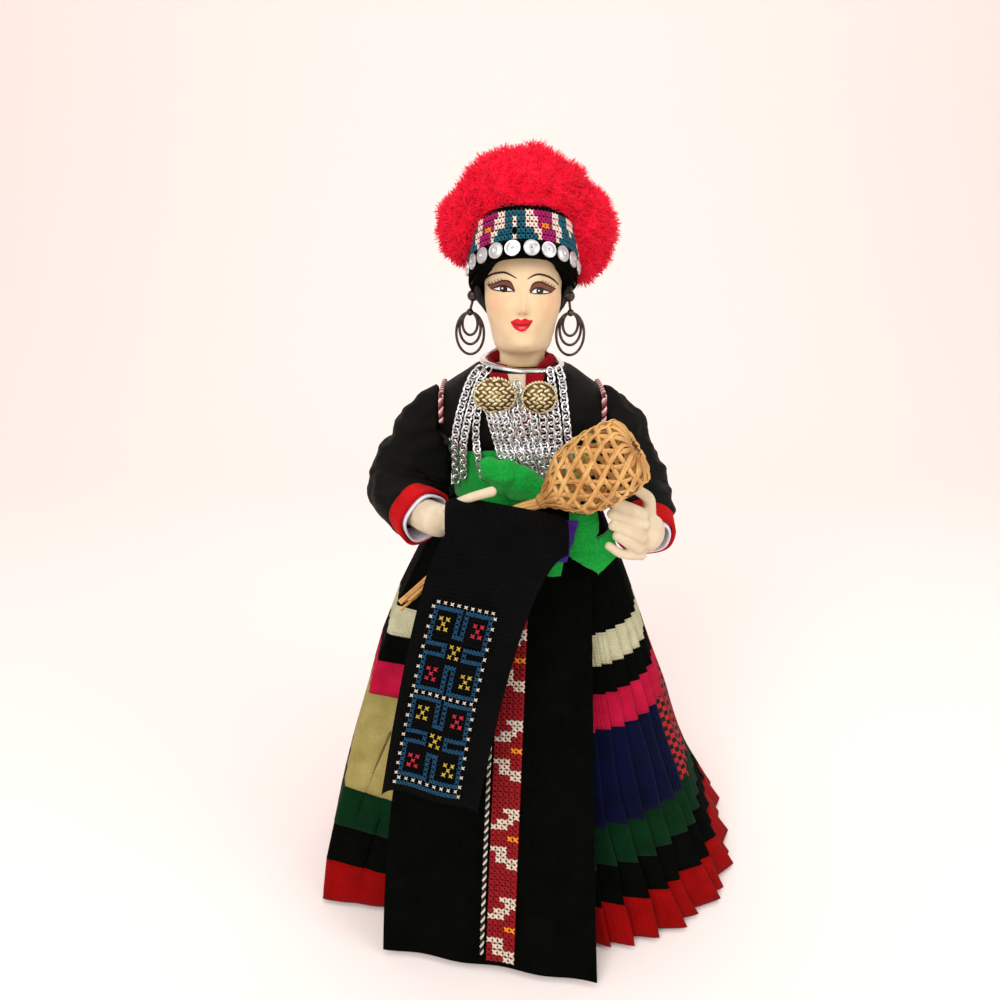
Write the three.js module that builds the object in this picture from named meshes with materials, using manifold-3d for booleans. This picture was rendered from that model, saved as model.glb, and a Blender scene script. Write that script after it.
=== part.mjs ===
import * as THREE from 'three';
import Module from 'manifold-3d';

const wasm = await Module();
wasm.setup();

// A standing doll in festival dress. Millimetres, +Z up, the face looks along -Y.

// Clearances and cloth
const GAP = 0.3;
const CLOTH = 1.0;
// Cutting blocks reach this far past the doll
const FAR = 300;

// Foot board, dowel and skirt
const BOARD_T = 8;
const DOWEL_R = 2;
const HEM_HALF_WIDTH = 74;
const HEM_DEPTH = 136;
const HEM_FRONT = HEM_DEPTH * 0.45;
const HEM_BACK = HEM_DEPTH - HEM_FRONT;
const HEM_SHIFT = 5;
const SKIRT_CORNER = 4.5;
const HEM_Z = 1.5;
const WAIST_Z = 140;
const WAIST_HALF_WIDTH = 20.5;
const WAIST_HALF_DEPTH = 17.5;
const PLEATS = 26;
const PLEAT_DEPTH = 5;

// Upper body
const NECK_BASE_Z = 179.5;
const ARMHOLE_X = 26.5;
const NECK_R = 6.2;
const RING_R = 12.8;
const RING_WIRE_R = 0.9;

// Head
const HEAD_HALF_WIDTH = 12.4;
const FACE_DEPTH = 17.2;
const BACK_DEPTH = 13.2;
const HAIR_T = 2.6;
const HAT_HEIGHT = 10.5;
const HAT_TILT = 26 * Math.PI / 180;
const DISC_R = 2.1;
const STUD_R = 1.8;
const EARRING_WIDTH = 8.6;
const EARRING_HEIGHT = 13;

// Arms and what they hold
const SHOULDER_Z = NECK_BASE_Z - 14;
const SLEEVE_R = 8.8;
const CUFF_LENGTH = 6.5;
const CLOTH_RADIUS = 5.7;
const CLOTH_T = 1.7;
const BASKET_R = 12;
const BASKET_LENGTH = 32;

// Meshes from rings of points

function geometryOf(points, triangles) {
  const geometry = new THREE.BufferGeometry();
  geometry.setAttribute('position', new THREE.Float32BufferAttribute(points.flat(), 3));
  geometry.setIndex(triangles.flat());
  return geometry;
}

function volumeOf(points, triangles) {
  let total = 0;
  for (const [i, j, k] of triangles) {
    const [a, b, c] = [points[i], points[j], points[k]];
    total += a[0] * (b[1] * c[2] - b[2] * c[1]);
    total -= a[1] * (b[0] * c[2] - b[2] * c[0]);
    total += a[2] * (b[0] * c[1] - b[1] * c[0]);
  }
  return total;
}

// A closed skin over equal rings of points, capped at both ends or closed on itself
function loft(rings, closed = false) {
  const count = rings[0].length;
  const points = rings.flat();
  const triangles = [];
  const last = closed ? rings.length : rings.length - 1;
  for (let i = 0; i < last; i += 1) {
    const next = (i + 1) % rings.length;
    for (let j = 0; j < count; j += 1) {
      const k = (j + 1) % count;
      triangles.push([i * count + j, i * count + k, next * count + k]);
      triangles.push([i * count + j, next * count + k, next * count + j]);
    }
  }
  if (!closed) {
    const ends = [[0, 1], [rings.length - 1, 0]];
    for (const [ring, forward] of ends) {
      const centre = [0, 1, 2].map((axis) => rings[ring].reduce((sum, p) => sum + p[axis] / count, 0));
      points.push(centre);
      for (let j = 0; j < count; j += 1) {
        const a = ring * count + j;
        const b = ring * count + (j + 1) % count;
        triangles.push(forward ? [points.length - 1, b, a] : [points.length - 1, a, b]);
      }
    }
  }
  if (volumeOf(points, triangles) < 0) {
    triangles.forEach((t) => t.reverse());
  }
  return geometryOf(points, triangles);
}

// Joining and cutting

function solidOf(geometry) {
  const flat = geometry.clone();
  flat.deleteAttribute('normal');
  flat.deleteAttribute('uv');
  const position = flat.attributes.position;
  const keys = new Map();
  const points = [];
  const where = [];
  for (let i = 0; i < position.count; i += 1) {
    const p = [position.getX(i), position.getY(i), position.getZ(i)];
    const key = p.map((v) => Math.round(v * 1e4)).join(',');
    if (!keys.has(key)) {
      keys.set(key, points.length / 3);
      points.push(...p);
    }
    where.push(keys.get(key));
  }
  const order = flat.index ? [...flat.index.array] : where.map((_, i) => i);
  const triangles = [];
  for (let i = 0; i < order.length; i += 3) {
    const [a, b, c] = [where[order[i]], where[order[i + 1]], where[order[i + 2]]];
    if (a !== b && b !== c && a !== c) {
      triangles.push(a, b, c);
    }
  }
  return new wasm.Manifold(new wasm.Mesh({
    numProp: 3,
    vertProperties: new Float32Array(points),
    triVerts: new Uint32Array(triangles),
  }));
}

function geometryFrom(solid) {
  const mesh = solid.getMesh();
  const geometry = new THREE.BufferGeometry();
  geometry.setAttribute('position', new THREE.BufferAttribute(new Float32Array(mesh.vertProperties), 3));
  geometry.setIndex([...mesh.triVerts]);
  return geometry;
}

function joined(...pieces) {
  return pieces.map(solidOf).reduce((sum, next) => sum.add(next));
}

function lessened(geometry, ...tools) {
  const start = geometry.isBufferGeometry ? solidOf(geometry) : geometry;
  return tools.reduce((rest, tool) => rest.subtract(tool.isBufferGeometry ? solidOf(tool) : tool), start);
}

function upright(radius, low, high, sides = 14) {
  const geometry = new THREE.CylinderGeometry(radius, radius, high - low, sides);
  geometry.rotateX(Math.PI / 2);
  geometry.translate(0, 0, (low + high) / 2);
  return geometry;
}

function block(low, high) {
  const size = high.map((v, i) => v - low[i]);
  const geometry = new THREE.BoxGeometry(...size);
  geometry.translate(...low.map((v, i) => v + size[i] / 2));
  return geometry;
}

function ball(centre, radii, detail = 2) {
  const geometry = new THREE.IcosahedronGeometry(1, detail);
  geometry.scale(...radii);
  geometry.translate(...centre);
  return geometry;
}

function wire(points, radius, steps, sides = 6) {
  const curve = new THREE.CatmullRomCurve3(points.map((p) => new THREE.Vector3(...p)));
  const shape = new THREE.Shape();
  for (let i = 0; i < sides; i += 1) {
    const turn = i / sides * Math.PI * 2;
    const x = radius * Math.cos(turn);
    const y = radius * Math.sin(turn);
    if (i === 0) {
      shape.moveTo(x, y);
    } else {
      shape.lineTo(x, y);
    }
  }
  shape.closePath();
  return new THREE.ExtrudeGeometry(shape, { steps, bevelEnabled: false, extrudePath: curve });
}

// Numbers and vectors

const mix = (a, b, t) => a + (b - a) * t;
const add = (a, b) => a.map((v, i) => v + b[i]);
const times = (a, s) => a.map((v) => v * s);
const minus = (a, b) => a.map((v, i) => v - b[i]);
const dot = (a, b) => a.reduce((sum, v, i) => sum + v * b[i], 0);
const cross = (a, b) => [a[1] * b[2] - a[2] * b[1], a[2] * b[0] - a[0] * b[2], a[0] * b[1] - a[1] * b[0]];
const unit = (a) => times(a, 1 / Math.sqrt(dot(a, a)));

function along(table, x) {
  const last = table.length - 1;
  if (x <= table[0][0]) {
    return table[0].slice(1);
  }
  for (let i = 0; i < last; i += 1) {
    if (x <= table[i + 1][0]) {
      const t = (x - table[i][0]) / (table[i + 1][0] - table[i][0]);
      return table[i].slice(1).map((v, k) => mix(v, table[i + 1][k + 1], t));
    }
  }
  return table[last].slice(1);
}

// A soft oval ring, with its own reach to the front and to the back
function oval(z, halfWidth, front, back, sides = 20, power = 2.3) {
  const ring = [];
  for (let i = 0; i < sides; i += 1) {
    const turn = i / sides * Math.PI * 2;
    const s = Math.sin(turn);
    const c = Math.cos(turn);
    const x = halfWidth * Math.sign(s) * Math.abs(s) ** (2 / power);
    const reach = c > 0 ? front : back;
    ring.push([x, -reach * Math.sign(c) * Math.abs(c) ** (2 / power), z]);
  }
  return ring;
}

// Rings round a bent path, square to it, with half sizes across and up
function tubeRings(path, sizes, sides, firstAlong = null) {
  return path.map((centre, i) => {
    const before = path[Math.max(i - 1, 0)];
    const after = path[Math.min(i + 1, path.length - 1)];
    const way = i === 0 && firstAlong ? firstAlong : unit(minus(after, before));
    const side = unit(cross(way, [0, 0, 1]));
    const up = cross(side, way);
    const ring = [];
    for (let j = 0; j < sides; j += 1) {
      const turn = j / sides * Math.PI * 2;
      const across = times(side, sizes[i][0] * Math.cos(turn));
      ring.push(add(centre, add(across, times(up, sizes[i][1] * Math.sin(turn)))));
    }
    return ring;
  });
}

const limb = (path, sizes, sides = 10) => loft(tubeRings(path, sizes, sides));

const doll = new THREE.Group();
doll.name = 'festival_doll';

function place(name, shape, color, roughness = 0.9, metalness = 0) {
  const geometry = shape.isBufferGeometry ? shape : geometryFrom(shape);
  geometry.computeVertexNormals();
  const mesh = new THREE.Mesh(geometry, new THREE.MeshStandardMaterial({ color, roughness, metalness }));
  mesh.name = name;
  doll.add(mesh);
}

const BLACK = 0x141315;
const RED = 0xc41622;
const SKIN = 0xf1e6cf;
const GREEN = 0x1fa32f;
const SILVER = 0xc9cacd;
const STRAW = 0xcf9a4a;
const YARN = 0xee1433;

// Left of the apron the skirt is pressed flat: the share of its radius kept at a turn in degrees
const flatTable = [
  [-180, 1], [-61, 1], [-56, 0.874], [-52, 0.797], [-48, 0.745], [-42, 0.73],
  [-34, 0.77], [-26, 0.85], [-16, 0.95], [-6, 1], [180, 1],
];

function pressedFlat(t, turn) {
  const degrees = Math.atan2(Math.sin(turn), Math.cos(turn)) * 180 / Math.PI;
  return mix(1, along(flatTable, degrees)[0], Math.min(t / 0.2, 1));
}

// The skirt is a cone, oval in plan, a little hollow in profile, drawn into pleats
function skirtRadius(z, turn) {
  const t = 1 - z / WAIST_Z;
  const hollow = 0.5 * t ** 3 * (1 - t);
  const half = mix(WAIST_HALF_WIDTH + 2.5, HEM_HALF_WIDTH, t) - HEM_HALF_WIDTH * hollow;
  const front = mix(WAIST_HALF_DEPTH + 4, HEM_FRONT, t) - HEM_FRONT * hollow;
  const back = mix(WAIST_HALF_DEPTH + 4, HEM_BACK, t) - HEM_BACK * hollow;
  const reach = Math.cos(turn) > 0 ? front : back;
  const power = Math.cos(turn) > 0 && Math.sin(turn) < 0 ? SKIRT_CORNER : 2.5;
  const sum = Math.abs(Math.sin(turn) / half) ** power + Math.abs(Math.cos(turn) / reach) ** power;
  return sum ** (-1 / power) * pressedFlat(t, turn);
}

const pleatAt = (z) => mix(0.9, PLEAT_DEPTH, 1 - z / WAIST_Z);

function skirtPoint(z, turn, offset) {
  const r = skirtRadius(z, turn) + offset;
  const lean = HEM_SHIFT * (1 - z / WAIST_Z);
  return [lean + r * Math.sin(turn), -r * Math.cos(turn), z];
}

function pleatedBand(low, high, first = 0, last = 2 * PLEATS) {
  const whole = last - first === 2 * PLEATS;
  const sections = [];
  for (let k = first; k < (whole ? last : last + 1); k += 1) {
    const turn = k * Math.PI / PLEATS;
    const fold = (k % 2 === 0 ? 0.5 : -0.5);
    const a = fold * pleatAt(low);
    const b = fold * pleatAt(high);
    const side = k === first ? 1 : k === last ? -1 : 0;
    const edge = whole ? 0 : side * GAP / 2 / skirtRadius(high, turn);
    const shifted = turn + edge;
    sections.push([
      skirtPoint(low, shifted, a),
      skirtPoint(high, shifted, b),
      skirtPoint(high, shifted, b - CLOTH),
      skirtPoint(low, shifted, a - CLOTH),
    ]);
  }
  return loft(sections, whole);
}

const bandShares = [0, 0.085, 0.168, 0.256, 0.482, 0.565, 0.63, 0.703, 0.99];
const bandEdges = bandShares.map((t) => HEM_Z + t * (WAIST_Z - HEM_Z));
const bandLow = (i) => bandEdges[i] + GAP / 2;
const bandHigh = (i) => bandEdges[i + 1] - GAP / 2;
const wholeBands = [
  ['skirt_red_hem', 0, RED],
  ['skirt_black_lower', 1, BLACK],
  ['skirt_green_band', 2, 0x0f6b4a],
  ['skirt_pink_band', 4, 0xc82a72],
  ['skirt_black_upper', 5, BLACK],
  ['skirt_cream_band', 6, 0xe9e3b8],
  ['skirt_black_yoke', 7, BLACK],
];
for (const [name, i, color] of wholeBands) {
  place(name, pleatedBand(bandLow(i), bandHigh(i)), color);
}

// The wide band is sewn from three panels, counted in half pleats from the front
const navyEnd = Math.round(PLEATS * 0.4);
const stitchedEnd = navyEnd + Math.round(PLEATS / 5);
const panels = [
  ['skirt_navy_panel', 0, navyEnd, 0x1b2a80],
  ['skirt_embroidered_panel', navyEnd, stitchedEnd, 0x5c1422],
  ['skirt_yellow_panel', stitchedEnd, 2 * PLEATS, 0xd9cf86],
];
for (const [name, first, last, color] of panels) {
  place(name, pleatedBand(bandLow(3), bandHigh(3), first, last), color);
}

// Foot board, dowel and stuffed underskirt
const insideSkirt = (z, extra) => -pleatAt(z) / 2 - CLOTH - extra;
function skirtCore(levels, extra, sides = PLEATS) {
  return loft(levels.map((z) => {
    const ring = [];
    for (let i = 0; i < sides; i += 1) {
      const turn = (i + 0.5) / sides * Math.PI * 2;
      const least = Math.min(...[-1, 0, 1].map((k) => skirtRadius(z, turn + k * Math.PI / PLEATS)));
      ring.push(skirtPoint(z, turn, least - skirtRadius(z, turn) + insideSkirt(z, extra)));
    }
    return ring;
  }));
}

const dowelFoot = BOARD_T - 5;
const dowelTop = NECK_BASE_Z + 16;
place('foot_board', lessened(
  skirtCore([0, BOARD_T], 2),
  upright(DOWEL_R + GAP, dowelFoot, BOARD_T + 1),
), 0xa9794a);
place('spine_dowel', upright(DOWEL_R, dowelFoot + GAP, dowelTop), 0xc9a06a);
const coreLow = BOARD_T + GAP;
const coreTop = WAIST_Z - 2;
const coreLevels = [coreLow, ...bandEdges.filter((z) => z > coreLow && z < coreTop - 4), coreTop];
place('stuffed_underskirt', lessened(
  skirtCore(coreLevels, 0.4),
  upright(DOWEL_R + GAP, 0, WAIST_Z + 10),
), 0xd8d2c2);

// Torso and jacket share one shape: height, half width, reach to the front and back
const bodyRise = (NECK_BASE_Z - WAIST_Z) / 39.5;
const bodyTable = [
  [0, 0, 0, 0], [10, 0, 0, 0], [16, 2.5, 1, 1], [20, 6.5, 2, 1.5], [26, 9, 2.5, 2],
  [30, 8, 2.3, 1.5], [33, 4.5, 0.2, -1], [36, 0, -2, -3], [39.5, -5, -3.9, -4.2],
];

function bodyAt(z) {
  const [half, front, back] = along(bodyTable, (z - WAIST_Z) / bodyRise);
  return [WAIST_HALF_WIDTH + half, WAIST_HALF_DEPTH + front, WAIST_HALF_DEPTH - 1 + back];
}

function bodyLoft(grow, low, high) {
  const heights = bodyTable.map((row) => WAIST_Z + row[0] * bodyRise);
  const between = heights.filter((z) => z > low + 0.5 && z < high - 0.5);
  return loft([low, ...between, high].map((z) => {
    const [half, front, back] = bodyAt(z);
    return oval(z, half + grow, front + grow, back + grow);
  }));
}

function bodyFront(x, z, offset) {
  const [half, front] = bodyAt(z);
  const reach = front + offset;
  const share = Math.min(Math.abs(x) / (half + offset), 0.98);
  return -reach * (1 - share ** 2.3) ** (1 / 2.3);
}

const armholes = [
  block([ARMHOLE_X, -FAR, 0], [FAR, FAR, FAR]),
  block([-FAR, -FAR, 0], [-ARMHOLE_X, FAR, FAR]),
];
const bodyLow = WAIST_Z + GAP;
place('jacket_body', lessened(
  bodyLoft(0, bodyLow, NECK_BASE_Z),
  bodyLoft(-CLOTH, bodyLow - 2, NECK_BASE_Z + 2),
  ...armholes,
), BLACK, 0.8);
place('torso', lessened(
  bodyLoft(-CLOTH - GAP, bodyLow, NECK_BASE_Z),
  upright(DOWEL_R + GAP, 0, FAR),
  ...armholes,
), SKIN);

// Collar, open in a V at the front
const collarRings = [];
for (let k = 0; k <= 20; k += 1) {
  const turn = mix(0.35, Math.PI * 2 - 0.35, k / 20);
  const reach = (r, z) => [r * Math.sin(turn), -r * Math.cos(turn), z];
  const low = NECK_BASE_Z + GAP;
  collarRings.push([
    reach(NECK_R + 3.2, low), reach(NECK_R + 4, low + 4),
    reach(NECK_R + 3, low + 4), reach(NECK_R + 2.2, low),
  ]);
}
place('collar', loft(collarRings), 0x7d1018);

// Twisted braid over each shoulder seam
function shoulderBraid(side) {
  const points = [];
  const x = ARMHOLE_X - 1.2;
  for (const step of [-1, -0.7, -0.4, -0.15, 0.15, 0.4, 0.7, 1]) {
    const z = SHOULDER_Z + 6 - 7.5 * step * step;
    const [half, front, back] = bodyAt(z);
    const share = (1 - Math.min(x / half, 0.99) ** 2.3) ** (1 / 2.3);
    const reach = (step < 0 ? front : back) * share + GAP + 0.9;
    points.push([side * x, Math.sign(step) * reach, z + 1.2 * (1 - step * step)]);
  }
  return wire(points, 0.8, 11);
}
place('shoulder_braid_left', lessened(shoulderBraid(-1), bodyLoft(GAP, bodyLow, NECK_BASE_Z)), 0xb7657c);
place('shoulder_braid_right', lessened(shoulderBraid(1), bodyLoft(GAP, bodyLow, NECK_BASE_Z)), 0xb7657c);

// Green sash: a band, a puffed knot in front and a hanging loop
const SASH_TOP = WAIST_Z + 17;
const SASH_T = 2.2;
const CHAIN_T = 1.0;
const CHAIN_W = 1.9;
const CHAIN_LINKS = 8;
const chainLift = GAP + 0.25 + CHAIN_T / 2;
const sashRings = [];
const sashLevels = [
  [bodyLow, SASH_T - 0.7], [WAIST_Z + 6, SASH_T], [WAIST_Z + 12, SASH_T - 0.3], [SASH_TOP, SASH_T - 0.8],
];
for (const [z, grow] of sashLevels) {
  const [half, front, back] = bodyAt(z);
  sashRings.push(oval(z, half + GAP + grow, front + GAP + grow, back + GAP + grow));
}
place('sash_band', lessened(loft(sashRings), bodyLoft(GAP, bodyLow - 3, SASH_TOP + 5), ...armholes), GREEN);

const frontOfSash = (x, z, offset) => bodyFront(x, z, GAP + SASH_T + offset);
const beforeChains = chainLift + CHAIN_T / 2 + GAP;
const knotY = Math.min(...[5, 10, 16].map((rise) => frontOfSash(0, WAIST_Z + rise, beforeChains)));
function knot() {
  const rings = [];
  const stations = [[0, 7.5, 4.8], [2.4, 8.5, 5.6], [5, 6.2, 4.2], [6.6, 2.5, 2]];
  for (const [out, halfX, halfZ] of stations) {
    const ring = [];
    for (let i = 0; i < 20; i += 1) {
      const turn = i / 20 * Math.PI * 2;
      const pucker = 1 + 0.07 * Math.cos(5 * turn);
      ring.push([
        -1.5 + halfX * pucker * Math.cos(turn),
        knotY - out,
        WAIST_Z + 10 + halfZ * pucker * Math.sin(turn),
      ]);
    }
    rings.push(ring);
  }
  return loft(rings);
}
place('sash_knot', knot(), GREEN);

// The apron hangs from the waist before the skirt and stands off it towards the floor
const APRON_TOP = WAIST_Z - 3;
const APRON_LOW = HEM_Z + 2.5;
const APRON_T = 1.0;
const skirtFront = (z) => skirtRadius(z, 0) + pleatAt(z) / 2;

function apronPoint(u, t, lift) {
  const z = mix(APRON_TOP, APRON_LOW, t);
  const left = mix(-19, -0.598 * HEM_HALF_WIDTH, t);
  const right = mix(21, 0.292 * HEM_HALF_WIDTH, t);
  const x = mix(left, right, u);
  const stand = GAP + t * mix(0.6, 10, u) + 1.4 * Math.sin(t * Math.PI);
  const fold = 0.5 * t * Math.cos(u * 17);
  return [x, -skirtFront(z) - stand - fold - lift, z];
}

// A thin closed sheet over a grid of points, with its back face given by a second lift
function sheet(point, rows, columns, front, back) {
  const sections = [];
  for (const t of rows) {
    const face = columns.map((u) => point(u, t, front));
    const behind = columns.map((u) => point(u, t, back)).reverse();
    sections.push([...face, ...behind]);
  }
  return loftSheet(sections);
}

// A skin over flat sections: the ends are closed by quads across the thickness
function loftSheet(sections) {
  const count = sections[0].length;
  const half = count / 2;
  const points = sections.flat();
  const triangles = [];
  for (let i = 0; i + 1 < sections.length; i += 1) {
    for (let j = 0; j < count; j += 1) {
      const k = (j + 1) % count;
      triangles.push([i * count + j, i * count + k, (i + 1) * count + k]);
      triangles.push([i * count + j, (i + 1) * count + k, (i + 1) * count + j]);
    }
  }
  for (const ring of [0, sections.length - 1]) {
    for (let j = 0; j + 1 < half; j += 1) {
      const a = ring * count + j;
      const b = a + 1;
      const c = ring * count + count - 2 - j;
      const d = c + 1;
      const pair = [[a, c, b], [a, d, c]];
      triangles.push(...(ring === 0 ? pair : pair.map((t) => [t[0], t[2], t[1]])));
    }
  }
  if (volumeOf(points, triangles) < 0) {
    triangles.forEach((t) => t.reverse());
  }
  return geometryOf(points, triangles);
}

const steps = (count) => Array.from({ length: count + 1 }, (_, i) => i / count);
place('apron', sheet(apronPoint, steps(10), steps(10), APRON_T, 0), BLACK);

// A strip of embroidery and a twisted cord lie on the apron
const stripMiddle = (t) => mix(0.56, 0.58, t);
const stripHalf = (t) => mix(0.1, 0.066, t);
function stripPoint(u, t, lift) {
  const across = stripMiddle(t) + (u - 0.5) * 2 * stripHalf(t);
  return apronPoint(across, t, APRON_T + GAP + 0.15 + lift);
}
const stripRows = steps(10).map((t) => mix(0.1, 0.985, t));
place('apron_strip', sheet(stripPoint, stripRows, steps(3), 0.7, 0), 0xa51528);
const cordPath = [0.36, 0.5, 0.64, 0.78, 0.97].map((t) => {
  return apronPoint(stripMiddle(t) - stripHalf(t) - 0.022, t, APRON_T + GAP + 1.0);
});
place('apron_cord', wire(cordPath, 0.55, 14), 0xe8e4da);

// The sash loop and a purple ribbon end hang before the apron
const beforeApron = (z) => {
  const t = (APRON_TOP - z) / (APRON_TOP - APRON_LOW);
  return Math.min(...[0.7, 0.85, 1].map((u) => apronPoint(u, Math.max(t, 0), APRON_T)[1])) - 0.5;
};

function hangingLoop() {
  const rings = [];
  const stations = [
    [0, 8, 1.2, 3.2], [0.2, 12, 1.7, 5.2], [0.45, 17, 2.1, 7.2],
    [0.7, 22, 2.1, 7.6], [0.9, 26.5, 1.7, 5.4], [1, 29, 1.1, 3],
  ];
  const back = beforeApron(WAIST_Z - 14);
  for (const [t, x, halfY, halfZ] of stations) {
    const ring = [];
    for (let i = 0; i < 16; i += 1) {
      const turn = i / 16 * Math.PI * 2;
      const ripple = 1 + 0.08 * Math.cos(3 * turn + 4 * t);
      ring.push([
        x,
        back + GAP - 1.8 - halfY * Math.cos(turn),
        WAIST_Z - 4 - 8 * t + halfZ * ripple * Math.sin(turn),
      ]);
    }
    rings.push(ring);
  }
  return loft(rings);
}
place('sash_loop', hangingLoop(), GREEN);
const ribbonY = beforeApron(WAIST_Z - 14) - 3.7;
place('purple_ribbon', block(
  [10.5, ribbonY - 1.1, WAIST_Z - 14],
  [14.5, ribbonY, WAIST_Z - 0.5],
), 0x4a2a86);

// Silver ring round the neck, its two ends curled up behind the jaw
const ringPoints = [];
const ringZ = NECK_BASE_Z + GAP + RING_WIRE_R;
for (let k = 0; k <= 22; k += 1) {
  const turn = mix(-2.5, 2.5, k / 22);
  const end = Math.max(0, Math.abs(turn) - 1.9) / 0.6;
  const r = RING_R - 1.6 * end;
  ringPoints.push([r * Math.sin(turn), -r * Math.cos(turn), ringZ + 2.2 * end * end]);
}
place('neck_ring', wire(ringPoints, RING_WIRE_R, 28), SILVER, 0.25, 1);

// Chains: a flat bar pinched at every link
function chain(path, links) {
  const curve = new THREE.CatmullRomCurve3(path.map((p) => new THREE.Vector3(...p)));
  const rings = [];
  for (let i = 0; i <= links * 2; i += 1) {
    const p = curve.getPointAt(i / (links * 2)).toArray();
    const way = curve.getTangentAt(i / (links * 2)).toArray();
    const across = unit(cross(way, [0, -1, 0]));
    const out = cross(across, way);
    const wide = i % 2 === 0 ? 0.55 : 1;
    const w = CHAIN_W / 2 * wide;
    const d = CHAIN_T / 2;
    const corner = (s, r) => add(p, add(times(across, s * w), times(out, r * d)));
    rings.push([corner(-1, -1), corner(1, -1), corner(1, 1), corner(-1, 1)]);
  }
  return loft(rings);
}

function chestPoint(x, z) {
  const sash = z < SASH_TOP + 2;
  const shift = sash ? frontOfSash(x, z, chainLift) : bodyFront(x, z, chainLift);
  return [x, shift, z];
}

function fanChain(topX, lowX) {
  const path = [];
  for (let k = 0; k <= 7; k += 1) {
    const t = k / 7;
    path.push(chestPoint(mix(topX, lowX, t ** 1.2), mix(NECK_BASE_Z - 1.6, WAIST_Z + 9, t)));
  }
  return chain(path, CHAIN_LINKS);
}

const fan = [[-8.5, -5.2], [-5.6, -1.6], [-2.7, 2], [0.2, 5.6], [3.1, 9.2], [6, 12.8]];
fan.forEach(([topX, lowX], i) => {
  place(`chain_front_${i + 1}`, fanChain(topX, lowX), SILVER, 0.25, 1);
});

function sideChain(points) {
  return chain(points.map(([x, z, out]) => [x, bodyFront(x, z, chainLift + out), z]), CHAIN_LINKS);
}
const top = NECK_BASE_Z - 1.6;
place('chain_side_left', sideChain([
  [-12, top, 0.3], [-15, mix(top, SASH_TOP, 0.3), 0.5], [-17.6, mix(top, SASH_TOP, 0.62), 0.9],
  [-18.2, SASH_TOP + 2, 2.6], [-18.4, WAIST_Z + 8, 3.4],
]), SILVER, 0.25, 1);
place('chain_side_right', sideChain([
  [9.6, top, 0.3], [12.4, mix(top, SASH_TOP, 0.3), 0.5], [15, mix(top, SASH_TOP, 0.62), 0.9],
  [16.6, SASH_TOP + 2, 2.6], [17.2, WAIST_Z + 8, 3.4],
]), SILVER, 0.25, 1);

// Two domed oval brooches over the chains
function brooch(x, z, halfX, halfZ) {
  const y = Math.min(bodyFront(x, z - halfZ, 0), bodyFront(x, z, 0)) - chainLift - CHAIN_T / 2 - GAP;
  const rings = [[0, 0.96], [1.0, 1], [2.2, 0.8], [3, 0.42]].map(([out, scale]) => {
    const ring = [];
    for (let i = 0; i < 20; i += 1) {
      const turn = i / 20 * Math.PI * 2;
      ring.push([x + halfX * scale * Math.cos(turn), y - out, z + halfZ * scale * Math.sin(turn)]);
    }
    return ring;
  });
  return loft(rings);
}
place('brooch_left', brooch(-7.2, NECK_BASE_Z - 5.4, 6, 4.9), 0xb08d4c, 0.35, 1);
place('brooch_right', brooch(5.2, NECK_BASE_Z - 5.6, 5, 4.6), 0xb08d4c, 0.35, 1);

// Head: height above the neck, half width, front and back reach, as shares of the head
const headTable = [
  [0, NECK_R / HEAD_HALF_WIDTH, 0.38, 0.49], [7.4, 0.48, 0.42, 0.52], [8.2, 0.58, 0.78, 0.6],
  [10, 0.64, 0.92, 0.67], [13, 0.71, 0.965, 0.76], [16.5, 0.83, 0.985, 0.87], [20.5, 0.93, 1.01, 0.96],
  [26.5, 0.99, 1, 1.01], [32.5, 1, 0.977, 1], [38.5, 0.93, 0.87, 0.91], [43.5, 0.73, 0.67, 0.72],
  [47.5, 0.4, 0.38, 0.42], [49, 0.13, 0.12, 0.14],
];
const headLow = NECK_BASE_Z + GAP;

function headLoft(grow, from = 0, lowest = null) {
  return loft(headTable.slice(from).map(([rise, half, front, back], i) => {
    const z = headLow + rise + (rise > 40 ? grow : 0) - (i === 0 && lowest !== null ? lowest : 0);
    const reach = [front * FACE_DEPTH + grow, back * BACK_DEPTH + grow];
    return oval(z, half * HEAD_HALF_WIDTH + grow, ...reach, 20, 2.15);
  }));
}

const headY = (rise, share = 1) => -along(headTable, rise)[1] * FACE_DEPTH * share;
function noseShape() {
  const y = headY(20);
  const z = headLow + 20;
  const stations = [[4.6, 0.5, 0.3], [1.6, 0.9, 0.9], [-0.6, 1.5, 1.6], [-1.8, 1, 0.6]];
  const rings = stations.map(([rise, half, out]) => {
    return [[-half, y + 1.2, z + rise], [0, y - out, z + rise], [half, y + 1.2, z + rise]];
  });
  return loft(rings);
}
const headSolid = joined(headLoft(0), noseShape());
place('head', lessened(headSolid, upright(DOWEL_R + GAP, 0, dowelTop + GAP)), SKIN, 0.8);

// Hair wraps the back and sides of the head and runs up under the hat
const hairFrom = 4;
const hairLine = 34.5;
const hairWindow = block([-FAR, -FAR, headLow], [FAR, -3.2, headLow + hairLine]);
place('hair', lessened(headLoft(HAIR_T, hairFrom), headLoft(GAP), hairWindow), 0x0d0c0d, 0.6);

// The hat is a ring tilted back, cut to the hair inside
const hatCentre = [0, -2, headLow + 28.6];

function hatTilt(geometry) {
  geometry.rotateX(HAT_TILT * -1);
  geometry.translate(...hatCentre);
  return geometry;
}

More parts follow.
